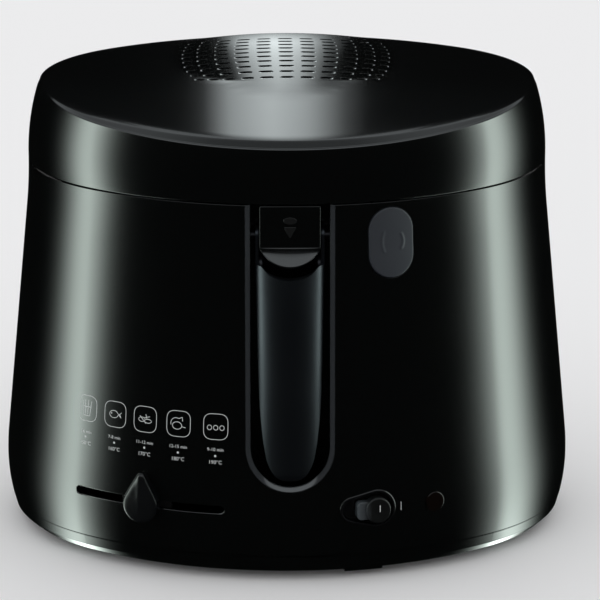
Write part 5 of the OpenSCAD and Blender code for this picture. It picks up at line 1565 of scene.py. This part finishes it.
# %% [markdown]
# ## The set
# A glossy black wall has almost no colour of its own: it is drawn by what it mirrors. So the studio is two
# sets in one. The floor and the world give the plain light, and a tent that only mirrors can see hangs
# round the object: black, with a soft upright box on each side, a strip behind for the lid's top and a
# panel above. The camera looks down, so a wall mirrors what lies low, and the tent starts on the floor.

# %% The numbers of the set
FLOOR_HALF, WORLD_LIGHT = 14, 0.9
TENT_FOOT, TENT_REACH, TENT_TOP, TENT_DARK = 168.0, 0.9, 2.2, 0.003
SIDE_LIGHT = 3.9
LEFT_BOX, RIGHT_BOX = (39.2, 3.0, 5.6), (42.0, 3.6, 6.2)
STRIP_REACH, STRIP_TOP, STRIP_LIGHT = 0.55, 40, 1.45
STRIP_ACROSS = [-0.072, -0.057, -0.047, -0.036, -0.004, 0.024, 0.040, 0.053, 0.070]
STRIP_GLOW = [0.0, 0.02, 0.24, 0.60, 1.0, 0.70, 0.34, 0.09, 0.0]
STRIP_FADE = [-3, 2, 8, 36, 40], [0.1, 0.5, 1.0, 1.0, 0.3]
ROOF_R, ROOF_LIGHT, ROOF_TOP = 1.2, 1.0, 0.2
ROOF_RING = [0, 12, 24, 54, 66], [0.0, 0.0, 0.5, 0.5, 0.0]

print("side light", SIDE_LIGHT, "strip light", STRIP_LIGHT, "roof light", ROOF_LIGHT)

# %% [markdown]
# ### The floor and the plain light
# The floor is a pale matt sheet and the world is one even white. That would do for cloth or clay, but a
# glossy black wall would mirror both as a flat grey, so the tent's sheets stand between. Each carries a
# number per point, its glow, and is hidden from every ray that isn't a reflection.

# %% The floor and the plain light


def stage_mesh(name, points, faces, material, glow=None):
    """A stage piece from points in metres. With glow, a number per point, only mirrors see it."""
    mesh = bpy.data.meshes.new(name)
    mesh.from_pydata(np.asarray(points, float).reshape(-1, 3).tolist(), [], np.asarray(faces).tolist())
    piece = bpy.data.objects.new(name, mesh)
    scene.collection.objects.link(piece)
    mesh.materials.append(material)
    if glow is not None:
        level = mesh.attributes.new("glow", "FLOAT", "POINT")
        level.data.foreach_set("value", np.asarray(glow, np.float32).ravel())
        piece.visible_camera = piece.visible_shadow = piece.visible_diffuse = False
        piece.visible_transmission = piece.visible_volume_scatter = False
    return piece


floor = Finish("floor", (0.93, 0.93, 0.94), 0.9, Specular_IOR_Level=0.0)
floor_corners = [(x * FLOOR_HALF, y * FLOOR_HALF, 0) for x, y in ((-1, -1), (1, -1), (1, 1), (-1, 1))]
stage_mesh("floor", floor_corners, [(0, 1, 2, 3)], floor.material)
world = bpy.data.worlds.new("studio")
scene.world = world
world.use_nodes = True
background = world.node_tree.nodes["Background"]
background.inputs[0].default_value = (1.0, 1.0, 1.0, 1)
background.inputs[1].default_value = WORLD_LIGHT
print("floor and world made")

# %% [markdown]
# ### The mirror tent
# Area lamps could be mirrored too, but their edges are hard and they would light the floor. A sheet with a
# glow per point fades as softly as wished.

# %% Helpers for the tent


def tent_light(name, colour):
    """An emitter whose strength is the glow of its points."""
    material = bpy.data.materials.new(name)
    material.use_nodes = True
    tree = material.node_tree
    tree.nodes.clear()
    level = tree.nodes.new("ShaderNodeAttribute")
    level.attribute_name = "glow"
    light = tree.nodes.new("ShaderNodeEmission")
    light.inputs[0].default_value = (*colour, 1)
    out = tree.nodes.new("ShaderNodeOutputMaterial")
    tree.links.new(level.outputs[2], light.inputs[1])
    tree.links.new(light.outputs[0], out.inputs[0])
    return material


def grid_faces(rows, cols):
    """Quads of a grid of points stored row by row."""
    index = np.arange(rows * cols).reshape(rows, cols)
    return np.stack([index[:-1, :-1], index[1:, :-1], index[1:, 1:], index[:-1, 1:]], -1).reshape(-1, 4)


def bell(value, middle, width_below, width_above):
    """A smooth hump: 1 in the middle, falling as a Gauss curve with its own width on each side."""
    width = np.where(value < middle, width_below, width_above)
    return np.exp(-0.5 * ((value - middle) / width) ** 2)

# %% [markdown]
# Seen from the front, the wall at turn t mirrors the bearing 2t. The tent is laid out by t: its point at
# reach r stands r away from the wall in that direction, first along the floor and then upright.

# %% The tent round the front
tent_turn = np.radians(np.linspace(-90, 90, 361))
tent_reach = np.concatenate([np.linspace(0.0, TENT_REACH, 19), np.full(12, TENT_REACH)])
tent_z = np.concatenate([np.full(19, 0.001), np.linspace(0.03, TENT_TOP, 12)])
foot_x, foot_y = plan(np.full_like(tent_turn, TENT_FOOT), tent_turn)
tent_x = foot_x[:, None] * MM + tent_reach * np.sin(2 * tent_turn)[:, None]
tent_y = foot_y[:, None] * MM - tent_reach * np.cos(2 * tent_turn)[:, None]
tent_points = np.stack(np.broadcast_arrays(tent_x, tent_y, tent_z), -1)
degrees = np.degrees(tent_turn)
side_glow = SIDE_LIGHT * (bell(-degrees, *LEFT_BOX) + bell(degrees, *RIGHT_BOX)) + TENT_DARK
tent_glow = np.repeat(side_glow[:, None], len(tent_reach), 1)
tent_paint = tent_light("tent_light", (0.87, 1.0, 0.93))
stage_mesh("tent", tent_points, grid_faces(*tent_x.shape), tent_paint, tent_glow)
print("tent points", tent_glow.size)

# %% [markdown]
# The strip behind is bent round the lid, from the horizon up, and its glow fades towards both sides.

# %% The strip behind
strip_x = np.concatenate([[-0.9, -0.4], np.linspace(-0.12, 0.12, 81), [0.4, 0.9]])
strip_rise = np.radians(np.linspace(-3, STRIP_TOP, 24))
strip_y = 0.03 + STRIP_REACH * np.cos(strip_rise)
strip_z = 0.286 + STRIP_REACH * np.sin(strip_rise)
strip_points = np.stack(np.broadcast_arrays(strip_x[:, None], strip_y, strip_z), -1)
rise = np.degrees(strip_rise)
strip_fade = np.interp(rise, *STRIP_FADE)
strip_glow = STRIP_LIGHT * np.interp(strip_x, STRIP_ACROSS, STRIP_GLOW)[:, None] * strip_fade + TENT_DARK
strip_paint = tent_light("strip_light", (0.91, 0.99, 1.0))
stage_mesh("strip", strip_points, grid_faces(*strip_points.shape[:2]), strip_paint, strip_glow)
print("strip points", strip_glow.size)

# %% [markdown]
# The roof of the tent is dim straight above and brighter in front, where ledges and edges look for light.

# %% The roof of the tent
roof_lean = np.radians(np.linspace(0, 70, 36))
roof_round = np.radians(np.linspace(-180, 180, 73))
roof_x = ROOF_R * np.sin(roof_lean) * np.sin(roof_round)[:, None]
roof_y = -ROOF_R * np.sin(roof_lean) * np.cos(roof_round)[:, None]
roof_z = 0.25 + ROOF_R * np.cos(roof_lean)
roof_points = np.stack(np.broadcast_arrays(roof_x, roof_y, roof_z), -1)
lean = np.degrees(roof_lean)
roof_ring = np.interp(lean, *ROOF_RING)
roof_front = 0.30 + 0.70 * np.clip(np.cos(roof_round) + 0.35, 0, 1)[:, None]
roof_glow = ROOF_LIGHT * (ROOF_TOP + roof_front * roof_ring) + TENT_DARK
roof_paint = tent_light("roof_light", (0.90, 0.97, 1.0))
stage_mesh("roof", roof_points, grid_faces(*roof_points.shape[:2]), roof_paint, roof_glow)
print("tent made")

# %% [markdown]
# ## The camera
# A long lens from a little above the front keeps the upright lines upright.

# %% Camera and render settings
DISTANCE, RAISED, SIDEWAYS = 2.4208, math.radians(16.475), math.radians(0.83)
aim = Vector((0, 0, 0.1396))
place = aim + DISTANCE * Vector((-math.cos(RAISED) * math.sin(SIDEWAYS),
                                 -math.cos(RAISED) * math.cos(SIDEWAYS), math.sin(RAISED)))
camera = bpy.data.objects.new("camera", bpy.data.cameras.new("camera"))
scene.collection.objects.link(camera)
camera.data.lens = 227.0
camera.data.sensor_width = 36.0
camera.data.shift_x = 0.0217
camera.data.clip_end = 60
turned = (aim - place).to_track_quat("-Z", "Y").to_matrix().to_4x4()
camera.matrix_world = Matrix.Translation(place) @ turned
scene.camera = camera
scene.view_settings.view_transform = "Standard"
